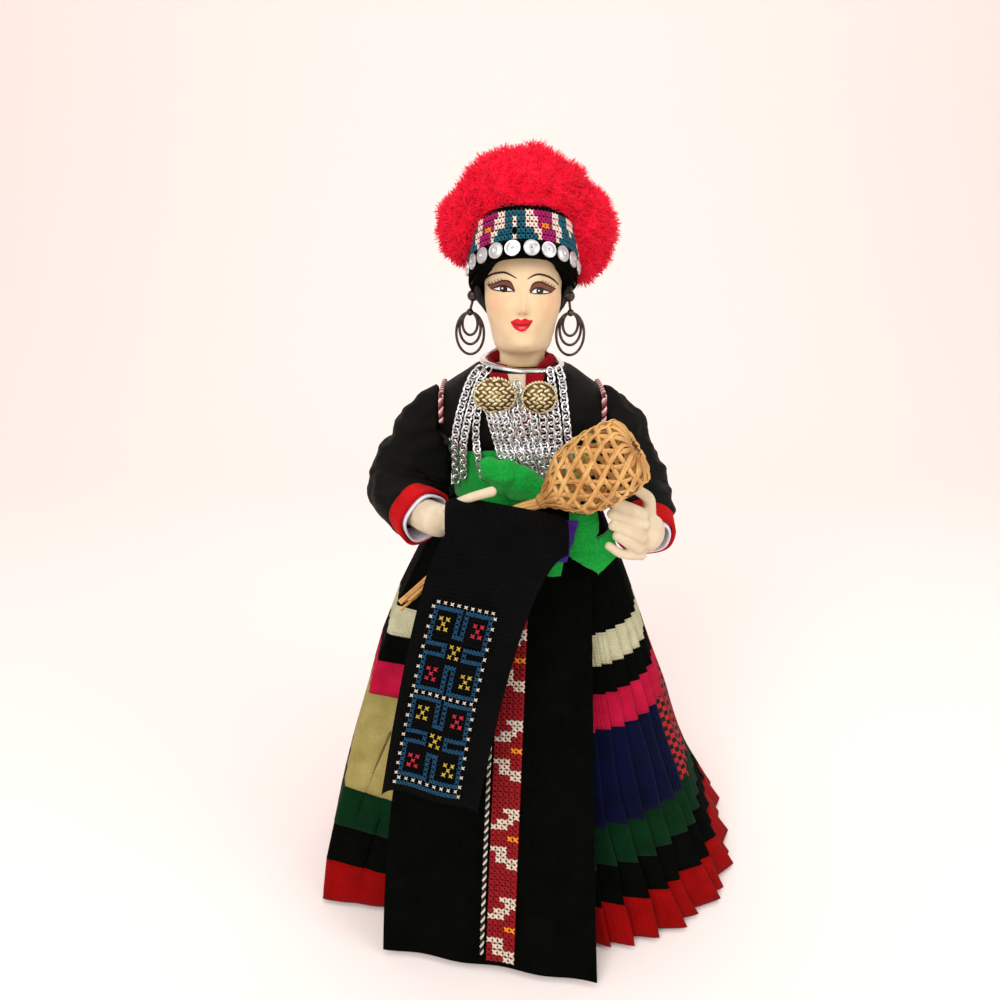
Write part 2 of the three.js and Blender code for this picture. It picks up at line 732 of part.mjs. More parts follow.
const hatHalf = HEAD_HALF_WIDTH + HAIR_T + 1.7;
const hatReach = (FACE_DEPTH + BACK_DEPTH) / 2 / Math.cos(HAT_TILT) + HAIR_T + 1.4;
function hatRing(low, high, grow = 0) {
  return hatTilt(loft([
    oval(low, hatHalf + grow, hatReach + grow, hatReach + grow, 28, 2.1),
    oval(high, hatHalf + grow - 0.6, hatReach + grow - 0.6, hatReach + grow - 0.6, 28, 2.1),
  ]));
}
const stripLow = -3.4;
const hatLow = 1.4;
const hairClear = headLoft(HAIR_T + GAP, hairFrom);
place('hat_band', lessened(hatRing(hatLow + GAP, hatLow + HAT_HEIGHT), hairClear), 0x1d6f86);

function coneDisc(turn) {
  const disc = new THREE.ConeGeometry(DISC_R, 1.3, 9);
  disc.rotateX(Math.PI);
  disc.translate(0, 0.2, 0);
  const x = (hatHalf - 0.1) * Math.sin(turn);
  const y = -(hatReach - 0.1) * Math.cos(turn);
  const face = Math.atan2(x / hatHalf ** 2, -y / hatReach ** 2);
  disc.rotateZ(face);
  disc.translate(x, y, (stripLow + hatLow) / 2);
  return hatTilt(disc);
}
let discRow = lessened(hatRing(stripLow, hatLow), hairClear);
for (let k = -4.5; k <= 4.5; k += 1) {
  discRow = discRow.add(solidOf(coneDisc(k * 0.26)));
}
place('hat_disc_strip', discRow, SILVER, 0.3, 1);

// Yarn pompoms crowd round and over the hat band
const hatClear = hatRing(stripLow - GAP, hatLow + HAT_HEIGHT + GAP, GAP + 0.2);
const pompoms = [
  ['pompom_top', [1, -0.5, 50.5], [21.5, 15.5, 16]],
  ['pompom_left', [-14.5, 3, 41.5], [13.5, 14.5, 14.5]],
  ['pompom_right', [17.5, 3.5, 40.2], [13.5, 14.5, 16.5]],
  ['pompom_back', [1, 16, 38], [16, 12, 16]],
];
const discClear = solidOf(hatRing(stripLow - GAP, hatLow + GAP, 1.6));
let earlier = solidOf(hatClear).add(solidOf(headLoft(HAIR_T + GAP, hairFrom)));
for (const [name, centre, radii] of pompoms) {
  const middle = [centre[0], centre[1], headLow + centre[2]];
  const size = radii.map((r) => r * hatHalf / 16.7);
  const detail = 2;
  const whole = solidOf(ball(middle, size, detail));
  const rest = name === 'pompom_top' ? whole.subtract(earlier) : whole.subtract(earlier).subtract(discClear);
  const bodies = rest.decompose().sort((a, b) => b.volume() - a.volume());
  place(name, bodies[0], YARN, 1);
  earlier = earlier.add(solidOf(ball(middle, size.map((r) => r + GAP), detail)));
}

// Ear studs on the hair, with earrings of three nested wire ovals swinging below
const earRise = 21.8;
const earHalf = along(headTable, earRise)[0] * HEAD_HALF_WIDTH + HAIR_T;
const earY = -2.6;
const earX = earHalf + GAP + STUD_R;
const earZ = headLow + earRise;

function hoop(x, topZ, width, height, wireR) {
  const points = [];
  for (let k = 0; k <= 16; k += 1) {
    const turn = mix(0.16, Math.PI * 2 - 0.16, k / 16);
    const r = height / 2;
    points.push([x + width / 2 * Math.sin(turn), earY, topZ - r + r * Math.cos(turn)]);
  }
  return wire(points, wireR, 12, 4);
}

for (const [name, side] of [['left', -1], ['right', 1]]) {
  const x = side * earX;
  place(`ear_stud_${name}`, ball([x, earY, earZ], [STUD_R, STUD_R, STUD_R], 1), 0x4a4648, 0.35, 0.6);
  const topZ = earZ - STUD_R - 3.2;
  const link = limb(
    [[x, earY, earZ - STUD_R - GAP], [x, earY + 0.01, earZ - STUD_R - 1.6], [x, earY + 0.02, topZ - 1]],
    [[0.5, 0.5], [0.5, 0.5], [0.5, 0.5]],
    6,
  );
  const bead = ball([x, earY, topZ - 0.2], [1.2, 1.1, 1.1], 1);
  const wireR = 0.42;
  let whole = joined(link, bead);
  for (const share of [1, 0.76, 0.54]) {
    whole = whole.add(solidOf(hoop(x, topZ, EARRING_WIDTH * share, EARRING_HEIGHT * share, wireR)));
  }
  place(`earring_${name}`, whole, 0x55504f, 0.4, 0.8);
}

// Arms: each sleeve leaves a flat armhole, bends at the elbow and ends in a cuff
const armX = ARMHOLE_X + GAP + 0.2;
const armPaths = {
  left: [
    [-armX, 0, SHOULDER_Z], [-armX - 2.8, -0.6, SHOULDER_Z - 4.8], [-armX - 8, -3, SHOULDER_Z - 14.8],
    [-armX - 12.4, -8.5, SHOULDER_Z - 22], [-armX - 12.2, -16, SHOULDER_Z - 25],
    [-armX - 7.3, -21.5, SHOULDER_Z - 26.5],
  ],
  right: [
    [armX, 0, SHOULDER_Z], [armX + 2.6, -0.6, SHOULDER_Z - 4.8], [armX + 6.2, -3, SHOULDER_Z - 14.8],
    [armX + 9.4, -8.5, SHOULDER_Z - 22], [armX + 11.8, -17, SHOULDER_Z - 26.5],
    [armX + 11, -23, SHOULDER_Z - 29.5],
  ],
};

function ringAlong(start, way, stations, sides = 20) {
  const side = unit(cross(way, [0, 0, 1]));
  const up = cross(side, way);
  return loft(Array.from({ length: sides }, (_, j) => {
    const turn = j / sides * Math.PI * 2;
    const out = add(times(side, Math.cos(turn)), times(up, Math.sin(turn)));
    return stations.map(([s, r]) => add(start, add(times(way, s), times(out, r))));
  }), true);
}

const cuffEnds = {};
for (const name of ['left', 'right']) {
  const path = armPaths[name];
  const r = SLEEVE_R;
  const sizes = [
    [r - 1.8, r - 1.2], [r + 0.8, r - 0.6], [r + 2, r], [r + 1.8, r], [r + 0.4, r - 0.2], [r - 0.2, r - 0.2],
  ];
  const firstWay = name === 'left' ? [-1, 0, 0] : [1, 0, 0];
  const [from, to] = name === 'left' ? [-armX, FAR] : [-FAR, armX];
  const inward = block([from, -FAR, 0], [to, FAR, FAR]);
  place(`sleeve_${name}`, lessened(loft(tubeRings(path, sizes, 16, firstWay)), inward), BLACK, 0.8);
  const end = path[path.length - 1];
  const way = unit(minus(end, path[path.length - 2]));
  cuffEnds[name] = [end, way];
  place(`cuff_${name}`, ringAlong(end, way, [
    [GAP, r], [CUFF_LENGTH, r + 0.8], [CUFF_LENGTH, r - 0.4], [GAP, r - 1.2],
  ]), RED);
  place(`cuff_lining_${name}`, ringAlong(end, way, [
    [GAP, r - 1.2 - GAP], [CUFF_LENGTH + 0.8, r - 0.4 - GAP],
    [CUFF_LENGTH + 0.8, r - 1.4 - GAP], [GAP, r - 2.2 - GAP],
  ]), 0xe9e4ee);
}

// The folded cloth hangs over the doll's right hand, which lies along the fold
const foldStart = [-22.5, -41, SHOULDER_Z - 22.3];
const foldEnd = [12.5, -41, SHOULDER_Z - 29.3];
const foldWay = unit(minus(foldEnd, foldStart));
const foldAt = (u) => add(foldStart, times(minus(foldEnd, foldStart), u));
const CLOTH_DROP = 76;

function drapePoint(u, t, lift) {
  const axis = foldAt(u);
  const r = CLOTH_RADIUS + lift;
  const arc = 0.24;
  const ripple = 0.5 * Math.cos(u * 9.5 + 0.6);
  if (t < arc) {
    const turn = mix(Math.PI * 0.56, 0, t / arc);
    return add(axis, [0, -r * Math.cos(turn), r * Math.sin(turn)]);
  }
  const fall = (t - arc) / (1 - arc);
  const x = mix(axis[0], mix(-42, -13, u), fall);
  const out = r + fall * (13 + 2 * u) + ripple * Math.sin(fall * Math.PI / 2);
  return [x, axis[1] - out, axis[2] - fall * CLOTH_DROP];
}
const drapeRows = [0, 0.06, 0.12, 0.18, 0.24, 0.34, 0.5, 0.66, 0.82, 1];
place('folded_cloth', sheet(drapePoint, drapeRows, steps(8), CLOTH_T, 0), BLACK, 0.85);
const panelPoint = (u, t, lift) => drapePoint(mix(0.16, 0.78, u), t, CLOTH_T + GAP + lift);
const panelRows = [0.49, 0.58, 0.67, 0.76, 0.85, 0.93, 0.985];
place('cloth_embroidery', sheet(panelPoint, panelRows, steps(8), 0.6, 0), 0x1c5d93);

// Hands: a forearm, a flat palm, four fingers and a thumb joined into one
function hand(pieces) {
  return joined(...pieces.map(([path, sizes, sides]) => limb(path, sizes, sides)));
}

const [leftEnd, leftWay] = cuffEnds.left;
const fromLeft = (s) => add(leftEnd, times(leftWay, s));
const onFold = (x, dy, dz) => {
  const p = foldAt((x - foldStart[0]) / (foldEnd[0] - foldStart[0]));
  return [x, p[1] + dy, p[2] + dz];
};
const leftFingers = [3, 1, -1, -3].map((dz, i) => {
  const tip = [-5.5, -4.5, -5, -7.5][i];
  const path = [onFold(-18, 0, dz * 0.8), onFold(-12, -0.4, dz), onFold(tip, 0.4, dz)];
  return [path, [[1.1, 1.2], [1.1, 1.1], [0.7, 0.8]], 7];
});
place('hand_left', hand([
  [
    [
      fromLeft(GAP), fromLeft(CUFF_LENGTH + 1), onFold(-26.8, 2, -1.4),
      onFold(-23, 0.6, -0.2), onFold(-19, 0, 0), onFold(-14, 0, 0),
    ],
    [[4.4, 4.8], [4, 4.9], [3.6, 4.9], [2.8, 4.6], [2.5, 5.2], [1.8, 4.9]],
    12,
  ],
  ...leftFingers,
  [
    [onFold(-30, 3, 0.5), onFold(-28.6, 1, 6.4), onFold(-24.4, -0.4, 10.1), onFold(-8.5, -1.4, 9.8)],
    [[2.6, 2.6], [2.3, 2.3], [1.6, 1.6], [0.7, 0.7]],
    8,
  ],
]), SKIN);

const [rightEnd, rightWay] = cuffEnds.right;
const fromRight = (s) => add(rightEnd, times(rightWay, s));
const palm = add(fromRight(CUFF_LENGTH), [-0.8, -7.8, 2.8]);
const fromPalm = (points) => points.map((p) => add(palm, p));
const rightFingers = [
  [[-2.6, -1, 5.2], [-6.8, -4.2, 9.4], [-11, -4.6, 15.5]],
  [[-3.2, -1.8, 2.2], [-7.2, -5.5, 4.8], [-10.8, -6.5, 7]],
  [[-3.2, -1.8, -0.8], [-7.2, -5.2, 1.4], [-10.2, -6, 3.8]],
  [[-2, -0.8, -4.6], [-6.4, -5.2, -5], [-11.2, -6.4, -3.2]],
].map((points) => [fromPalm(points), [[1.9, 1.9], [1.9, 1.9], [1.3, 1.3]], 7]);
const handRight = hand([
  [
    [
      fromRight(GAP), fromRight(4), fromRight(CUFF_LENGTH + 0.8),
      ...fromPalm([[0.4, 1.5, -0.4], [-1.6, -0.4, 0.4], [-4.4, -2.2, 1.2]]),
    ],
    [[4.2, 4.6], [4, 4.4], [3.6, 4.5], [3, 4.2], [2.9, 5.6], [2, 5.4]],
    12,
  ],
  ...rightFingers,
  [
    fromPalm([[1.4, 1.4, 3.6], [2.2, 1, 8.6], [-2, -0.2, 12.6]]),
    [[1.8, 1.8], [1.6, 1.6], [1, 1]],
    7,
  ],
]);

// Basket: strips wound both ways over a bulb, tied with hoops, gathered into a bundle of straw
const neck = [4.5, -35.6, SHOULDER_Z - 19.5];
const basketWay = unit([23, -5.5, 16.5]);
const basketSide = unit(cross(basketWay, [0, 0, 1]));
const basketUp = cross(basketSide, basketWay);
const bulbTable = [
  [0, 0.17], [0.12, 0.3], [0.35, 0.66], [0.6, 0.94], [0.75, 1], [0.88, 0.92], [0.96, 0.66], [1, 0.3],
];
const bulbRadius = (s) => along(bulbTable, s)[0] * BASKET_R;

function onBulb(s, turn, lift = 0) {
  const r = bulbRadius(s) + lift;
  const out = add(times(basketSide, Math.cos(turn)), times(basketUp, Math.sin(turn)));
  return add(neck, add(times(basketWay, s * BASKET_LENGTH), times(out, r)));
}

// The weave is a shell of hexagon cells: shared corners, a smaller hole in each, rims round every edge
const WEAVE_COLUMNS = 8;
const WEAVE_ROWS = 5;
const WEAVE_T = 0.7;
const WEAVE_HOLE = 0.66;

function wovenShell() {
  const reach = 0.9 / (1.5 * WEAVE_ROWS + 0.5);
  const points = [];
  const triangles = [];
  const known = new Map();
  const edges = new Map();
  const corner = (column, s) => {
    const wrapped = ((column % WEAVE_COLUMNS) + WEAVE_COLUMNS) % WEAVE_COLUMNS;
    const key = `${Math.round(wrapped * 100) % (WEAVE_COLUMNS * 100)},${Math.round(s * 1e4)}`;
    if (!known.has(key)) {
      const turn = wrapped / WEAVE_COLUMNS * Math.PI * 2;
      known.set(key, points.length);
      points.push(onBulb(s, turn, 0), onBulb(s, turn, -WEAVE_T));
    }
    return known.get(key);
  };
  const quad = (a, b, c, d) => triangles.push([a, b, c], [a, c, d]);
  const shape = [[0, 1], [0.5, 0.5], [0.5, -0.5], [0, -1], [-0.5, -0.5], [-0.5, 0.5]];
  for (let i = 0; i < WEAVE_ROWS; i += 1) {
    for (let j = 0; j < WEAVE_COLUMNS; j += 1) {
      const column = j + (i % 2) / 2;
      const s = 0.05 + reach + i * 1.5 * reach;
      const outer = shape.map(([x, y]) => corner(column + x, s + y * reach));
      const hole = shape.map(([x, y]) => {
        const turn = (column + x * WEAVE_HOLE) / WEAVE_COLUMNS * Math.PI * 2;
        points.push(onBulb(s + y * reach * WEAVE_HOLE, turn, 0));
        points.push(onBulb(s + y * reach * WEAVE_HOLE, turn, -WEAVE_T));
        return points.length - 2;
      });
      for (let k = 0; k < 6; k += 1) {
        const n = (k + 1) % 6;
        quad(outer[k], outer[n], hole[n], hole[k]);
        quad(outer[n] + 1, outer[k] + 1, hole[k] + 1, hole[n] + 1);
        quad(hole[k], hole[n], hole[n] + 1, hole[k] + 1);
        const back = `${outer[n]},${outer[k]}`;
        if (edges.has(back)) {
          edges.delete(back);
        } else {
          edges.set(`${outer[k]},${outer[n]}`, [outer[k], outer[n]]);
        }
      }
    }
  }
  for (const [a, b] of edges.values()) {
    quad(b, a, a + 1, b + 1);
  }
  if (volumeOf(points, triangles) < 0) {
    triangles.forEach((t) => t.reverse());
  }
  return geometryOf(points, triangles);
}
const onAxis = (s) => add(neck, times(basketWay, s * BASKET_LENGTH));
const basketCap = limb(
  [onAxis(0.93), onAxis(0.965), onAxis(1.0), onAxis(1.02)],
  [bulbRadius(0.93), bulbRadius(0.965), bulbRadius(1), bulbRadius(1) / 2].map((r) => [r, r]),
  12,
);
const bundleEnd = [-36, -37.5, SHOULDER_Z - 49];
const bundleMiddle = [-8, -32.4, SHOULDER_Z - 26.5];
const bundle = limb(
  [add(neck, times(basketWay, 3.5)), neck, bundleMiddle, bundleEnd],
  [[3.2, 3.2], [2.2, 2.2], [1.5, 1.8], [1.7, 2.3]],
  9,
);
const basketWhole = joined(bundle, basketCap, wovenShell());
place('basket', basketWhole, STRAW, 0.7);
const fingerClear = solidOf(loft([0.02, 0.12, 0.35, 0.6, 0.75, 0.88, 0.96, 1.03].map((s) => {
  return Array.from({ length: 18 }, (_, j) => onBulb(s, j / 18 * Math.PI * 2, GAP));
})));
const handBodies = handRight.subtract(fingerClear).decompose().sort((a, b) => b.volume() - a.volume());
place('hand_right', handBodies[0], SKIN);

export default doll;
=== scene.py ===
# %% [markdown]
# # A cloth doll in festival dress
# The doll stands about ten inches tall in a pleated skirt, a black jacket and a head-dress of red yarn.
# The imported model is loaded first. It fixes every place and size, and this script only dresses it: soft
# pieces are built over the rigid solids and ride on the same bodies.

# %% Load the frame
import random
from math import atan2, copysign, cos, degrees, exp, pi, radians, remainder, sin, sqrt

import bmesh
import bpy
from mathutils import Matrix, Vector, noise
from mathutils.bvhtree import BVHTree


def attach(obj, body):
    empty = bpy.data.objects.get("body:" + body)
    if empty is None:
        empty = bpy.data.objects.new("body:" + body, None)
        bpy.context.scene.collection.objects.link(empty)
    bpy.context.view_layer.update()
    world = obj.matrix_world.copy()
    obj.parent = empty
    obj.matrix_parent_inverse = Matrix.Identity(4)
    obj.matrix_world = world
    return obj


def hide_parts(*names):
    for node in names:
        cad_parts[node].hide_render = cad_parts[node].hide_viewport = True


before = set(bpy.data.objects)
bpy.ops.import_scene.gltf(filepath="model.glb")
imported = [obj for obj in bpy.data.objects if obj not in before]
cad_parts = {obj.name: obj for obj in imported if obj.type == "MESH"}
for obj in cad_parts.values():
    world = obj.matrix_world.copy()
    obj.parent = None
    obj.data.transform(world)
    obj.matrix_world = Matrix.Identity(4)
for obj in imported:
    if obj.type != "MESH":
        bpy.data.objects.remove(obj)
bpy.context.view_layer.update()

scene = bpy.context.scene
MM = 0.001
FULL_TURN = 2 * pi

# %% [markdown]
# ## Tools for numbers and curves
# Every shape below is written in millimetres and scaled once, when its points are set. A table is read
# with straight lines between its rows, and a spline gives even steps along a smooth curve.

# %% Numbers and curves
def mix(a, b, t):
    return a + (b - a) * t


def along(rows, x):
    """Reads a table whose rows start with x."""
    if x <= rows[0][0]:
        return list(rows[0][1:])
    for low, high in zip(rows, rows[1:]):
        if x <= high[0]:
            t = (x - low[0]) / (high[0] - low[0])
            return [mix(a, b, t) for a, b in zip(low[1:], high[1:])]
    return list(rows[-1][1:])


def spline(points, count):
    """Gives count points at equal steps along a smooth curve through the given ones."""
    p = [Vector(q) for q in points]
    p = [2 * p[0] - p[1]] + p + [2 * p[-1] - p[-2]]
    fine = []
    for i in range(1, len(p) - 2):
        a, b, c, d = p[i - 1:i + 3]
        for k in range(24):
            t = k / 24
            square = 2 * a - 5 * b + 4 * c - d
            cube = 3 * b - a - 3 * c + d
            fine.append(0.5 * (2 * b + (c - a) * t + square * t * t + cube * t ** 3))
    fine.append(p[-2])
    lengths = [0.0]
    for a, b in zip(fine, fine[1:]):
        lengths.append(lengths[-1] + (b - a).length)
    steps = []
    j = 0
    for i in range(count):
        want = lengths[-1] * i / (count - 1)
        while j < len(fine) - 2 and lengths[j + 1] < want:
            j += 1
        span = max(lengths[j + 1] - lengths[j], 1e-9)
        steps.append(fine[j].lerp(fine[j + 1], (want - lengths[j]) / span))
    return steps


def length_of(path):
    return sum((b - a).length for a, b in zip(path, path[1:]))

# %% [markdown]
# ## Tools for meshes
# Most cloth starts as a flat grid, as it did on the cutting table. Each point of the grid is then moved to
# where the cloth hangs, so the UV map still holds the flat cut in metres and a weave can follow the
# threads. A tube is the same grid rolled round a path. Small repeated shapes are made once and set down
# many times.

# %% Grids, tubes and stamps
def bent_grid(columns, rows, point, cut=(1, 1), wrap=False):
    """A flat grid whose points move to point(u, v), with u across and v along."""
    bm = bmesh.new()
    bm.loops.layers.uv.new("cut")
    bmesh.ops.create_grid(bm, x_segments=columns, y_segments=rows, size=0.5, calc_uvs=True)
    uv = bm.loops.layers.uv["cut"]
    for face in bm.faces:
        for loop in face.loops:
            flat = loop.vert.co
            loop[uv].uv = ((flat.x + 0.5) * cut[0] * MM, (flat.y + 0.5) * cut[1] * MM)
    for vert in bm.verts:
        vert.co = Vector(point(vert.co.x + 0.5, vert.co.y + 0.5)) * MM
    if wrap:
        bmesh.ops.remove_doubles(bm, verts=bm.verts, dist=1e-7)
    bmesh.ops.recalc_face_normals(bm, faces=bm.faces)
    return bm


def tube(path, radius, sides=8, closed=False, flat=1.0):
    """A tube round a path, with a number or a function of the share along it as its radius."""
    count = len(path)
    ways = []
    for i in range(count):
        before = path[i - 1] if i or not closed else path[-2]
        after = path[i + 1] if i + 1 < count else (path[1] if closed else path[i])
        ways.append((after - (before if i or closed else path[0])).normalized())
    start = Vector((0, -1, 0)) if abs(ways[0].y) < 0.9 else Vector((1, 0, 0))
    side = (start - ways[0] * start.dot(ways[0])).normalized()
    sides_at = []
    for way in ways:
        side = (side - way * side.dot(way)).normalized()
        sides_at.append(side)

    def point(u, v):
        i = min(round(v * (count - 1)), count - 1)
        r = radius(v) if callable(radius) else radius
        turn = u * FULL_TURN
        other = ways[i].cross(sides_at[i])
        thin = flat(v) if callable(flat) else flat
        return path[i] + sides_at[i] * (thin * r * cos(turn)) + other * (r * sin(turn))

    bm = bent_grid(sides, count - 1, point, (sides, length_of(path)), wrap=True)
    if not closed:
        bmesh.ops.holes_fill(bm, edges=[e for e in bm.edges if e.is_boundary], sides=0)
        bmesh.ops.recalc_face_normals(bm, faces=bm.faces)
    return bm


def mesh_of(bm, name):
    mesh = bpy.data.meshes.new(name)
    bm.to_mesh(mesh)
    bm.free()
    return mesh


def join(parts):
    """Puts several meshes into one."""
    whole = bmesh.new()
    for part in parts:
        mesh = mesh_of(part, "part")
        whole.from_mesh(mesh)
        bpy.data.meshes.remove(mesh)
    return whole


class Stamp:
    """A small shape that is set down many times."""

    def __init__(self, bm, grow=1.0):
        self.mesh = mesh_of(bm, "stamp")
        self.mesh.transform(Matrix.Scale(grow, 4))
        self.rest = [c for v in self.mesh.vertices for c in v.co]

    def set_down(self, bm, matrix):
        self.mesh.transform(matrix)
        bm.from_mesh(self.mesh)
        self.mesh.vertices.foreach_set("co", self.rest)


def frame_at(point, across, out, size=1.0):
    """A place on a surface, in mm: x runs across, z points out. Size is one number or three."""
    z = out.normalized()
    x = (across - z * across.dot(z)).normalized()
    y = z.cross(x)
    turn = Matrix((x, y, z)).transposed().to_4x4()
    sizes = [size] * 3 if isinstance(size, (int, float)) else list(size)
    return Matrix.Scale(MM, 4) @ Matrix.Translation(point) @ turn @ Matrix.Diagonal(sizes + [1])

# %% Pieces and copies of solids
def smooth_object(bm, name, material):
    mesh = mesh_of(bm, name)
    mesh.polygons.foreach_set("use_smooth", [True] * len(mesh.polygons))
    mesh.materials.append(material)
    made = bpy.data.objects.new(name, mesh)
    scene.collection.objects.link(made)
    return made


def make_piece(bm, name, body, material, replaces=(), thick=0.0):
    """Turns a mesh into a piece that rides on a body and takes the place of CAD nodes."""
    piece = smooth_object(bm, name, material)
    if thick:
        solid = piece.modifiers.new("thickness", "SOLIDIFY")
        solid.thickness = thick * MM
        solid.offset = 0
    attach(piece, body)
    if replaces:
        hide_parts(*replaces)
    print(name, len(piece.data.polygons), "faces")
    return piece


def smooth(bm, verts, rounds):
    for _ in range(rounds):
        bmesh.ops.smooth_vert(bm, verts=verts, factor=0.5, use_axis_x=True, use_axis_y=True,
                              use_axis_z=True)


def remeshed(bm, voxel, rounds):
    """Turns closed shapes into one skin of even small faces and smooths it."""
    mesh = mesh_of(bm, "copy")
    copy = bpy.data.objects.new("copy", mesh)
    scene.collection.objects.link(copy)
    remesh = copy.modifiers.new("remesh", "REMESH")
    remesh.mode = "VOXEL"
    remesh.voxel_size = voxel * MM
    seen = copy.evaluated_get(bpy.context.evaluated_depsgraph_get())
    fine = bpy.data.meshes.new_from_object(seen)
    bm = bmesh.new()
    bm.from_mesh(fine)
    bpy.data.objects.remove(copy)
    bpy.data.meshes.remove(mesh)
    bpy.data.meshes.remove(fine)
    smooth(bm, bm.verts, rounds)
    bm.normal_update()
    return bm


def soft_copy(node, voxel, rounds):
    """A softened copy of a solid."""
    bm = bmesh.new()
    bm.from_mesh(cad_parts[node].data)
    bmesh.ops.remove_doubles(bm, verts=bm.verts, dist=1e-6)
    return remeshed(bm, voxel, rounds)


def wrinkle(bm, size, depth, seed=0.0, stretch=(1, 1, 1)):
    """Moves points along their normals by smooth noise, with folds about size mm wide."""
    bm.normal_update()
    shift = Vector((seed, seed * 0.7, -seed))
    for vert in bm.verts:
        p = Vector(a / (size * MM * s) for a, s in zip(vert.co, stretch))
        vert.co += vert.normal * (depth * MM * noise.noise(p + shift))


# %% [markdown]
# ## Finishes
# Cloth is told apart by its weave, its fuzz and the way its colour drifts, so each cloth is mixed from the
# same few nodes: a slow noise for the colour, two crossed waves on the flat cut for the threads, and sheen
# for fuzz. Metal only needs a little unevenness, because what it shows is the room.

# %% Node helpers
def colour(r, g, b):
    """A colour as it is seen on a screen, from 0 to 255, as linear light."""
    linear = [((c / 255 + 0.055) / 1.055) ** 2.4 if c > 10 else c / 255 / 12.92 for c in (r, g, b)]
    return (*linear, 1.0)


def finish_of(name, tint, roughness, metallic=0.0, sheen=0.0, gloss=0.25):
    """A new finish, with its nodes and its shader."""
    tint = colour(*tint)
    material = bpy.data.materials.new(name)
    material.use_nodes = True
    tree = material.node_tree
    shader = tree.nodes["Principled BSDF"]
    shader.inputs["Base Color"].default_value = tint
    shader.inputs["Roughness"].default_value = roughness
    shader.inputs["Metallic"].default_value = metallic
    shader.inputs["Sheen Weight"].default_value = sheen
    shader.inputs["Specular IOR Level"].default_value = 0.5 if metallic else gloss
    material.diffuse_color = tint
    return material, tree, shader


def add_node(tree, kind, **values):
    node = tree.nodes.new(kind)
    for key, value in values.items():
        node.inputs[key.replace("_", " ")].default_value = value
    return node


def two_tones(tree, shader, factor, dark, light, low=0.3, high=0.7):
    """Colours a finish from dark to light as a factor goes from low to high."""
    ramp = tree.nodes.new("ShaderNodeValToRGB")
    ramp.color_ramp.elements[0].position = low
    ramp.color_ramp.elements[0].color = colour(*dark)
    ramp.color_ramp.elements[1].position = high
    ramp.color_ramp.elements[1].color = colour(*light)
    tree.links.new(factor, ramp.inputs["Fac"])
    tree.links.new(ramp.outputs["Color"], shader.inputs["Base Color"])
    return ramp.outputs["Color"]


def mapped(tree, where, scale=(1, 1, 1)):
    coords = tree.nodes.new("ShaderNodeTexCoord")
    mapping = add_node(tree, "ShaderNodeMapping", Scale=scale)
    tree.links.new(coords.outputs[where], mapping.inputs["Vector"])
    return mapping.outputs["Vector"]


def noise_of(tree, vector, scale, detail=3.0):
    texture = add_node(tree, "ShaderNodeTexNoise", Scale=scale, Detail=detail)
    tree.links.new(vector, texture.inputs["Vector"])
    return texture.outputs["Fac"]


def bands_of(tree, vector, direction, pitch):
    wave = add_node(tree, "ShaderNodeTexWave", Scale=pi / 10 / (pitch * MM))
    wave.wave_type = "BANDS"
    wave.bands_direction = direction
    tree.links.new(vector, wave.inputs["Vector"])
    return wave.outputs["Fac"]


def sum_of(tree, a, b, operation="ADD"):
    node = tree.nodes.new("ShaderNodeMath")
    node.operation = operation
    tree.links.new(a, node.inputs[0])
    if isinstance(b, float):
        node.inputs[1].default_value = b
    else:
        tree.links.new(b, node.inputs[1])
    return node.outputs[0]


def bump_of(tree, shader, height, strength, depth):
    bump = add_node(tree, "ShaderNodeBump", Strength=strength, Distance=depth * MM)
    tree.links.new(height, bump.inputs["Height"])
    tree.links.new(bump.outputs["Normal"], shader.inputs["Normal"])

# %% Kinds of cloth, felt and thread
def cloth(name, light, dark, pitch=0.55, depth=0.12, roughness=0.9, sheen=0.02, gloss=0.06, where="UV"):
    """Woven cloth: crossed threads on the flat cut and a slow drift of colour."""
    material, tree, shader = finish_of(name, light, roughness, sheen=sheen, gloss=gloss)
    place = mapped(tree, where)
    two_tones(tree, shader, noise_of(tree, mapped(tree, "Object"), 140), dark, light)
    last = "Y" if where == "UV" else "Z"
    threads = sum_of(tree, bands_of(tree, place, "X", pitch), bands_of(tree, place, last, pitch))
    bump_of(tree, shader, threads, 0.6, depth)
    return material


def felt(name, light, dark, scale, sheen):
    """Felt and yarn have no threads in rows, only short fibres that catch the light."""
    material, tree, shader = finish_of(name, light, 0.95, sheen=sheen, gloss=0.08)
    place = mapped(tree, "Object")
    two_tones(tree, shader, noise_of(tree, place, scale, 2.0), dark, light, 0.32, 0.62)
    bump_of(tree, shader, noise_of(tree, place, scale * 1.7), 0.5, 0.2)
    return material


def thread(name, light, dark):
    """Stitching cotton: slightly shiny, with the twist of its plies."""
    material, tree, shader = finish_of(name, light, 0.6, sheen=0.08, gloss=0.12)
    place = mapped(tree, "Object")
    two_tones(tree, shader, noise_of(tree, place, 1300, 2.0), dark, light)
    bump_of(tree, shader, noise_of(tree, place, 2600), 0.4, 0.08)
    return material

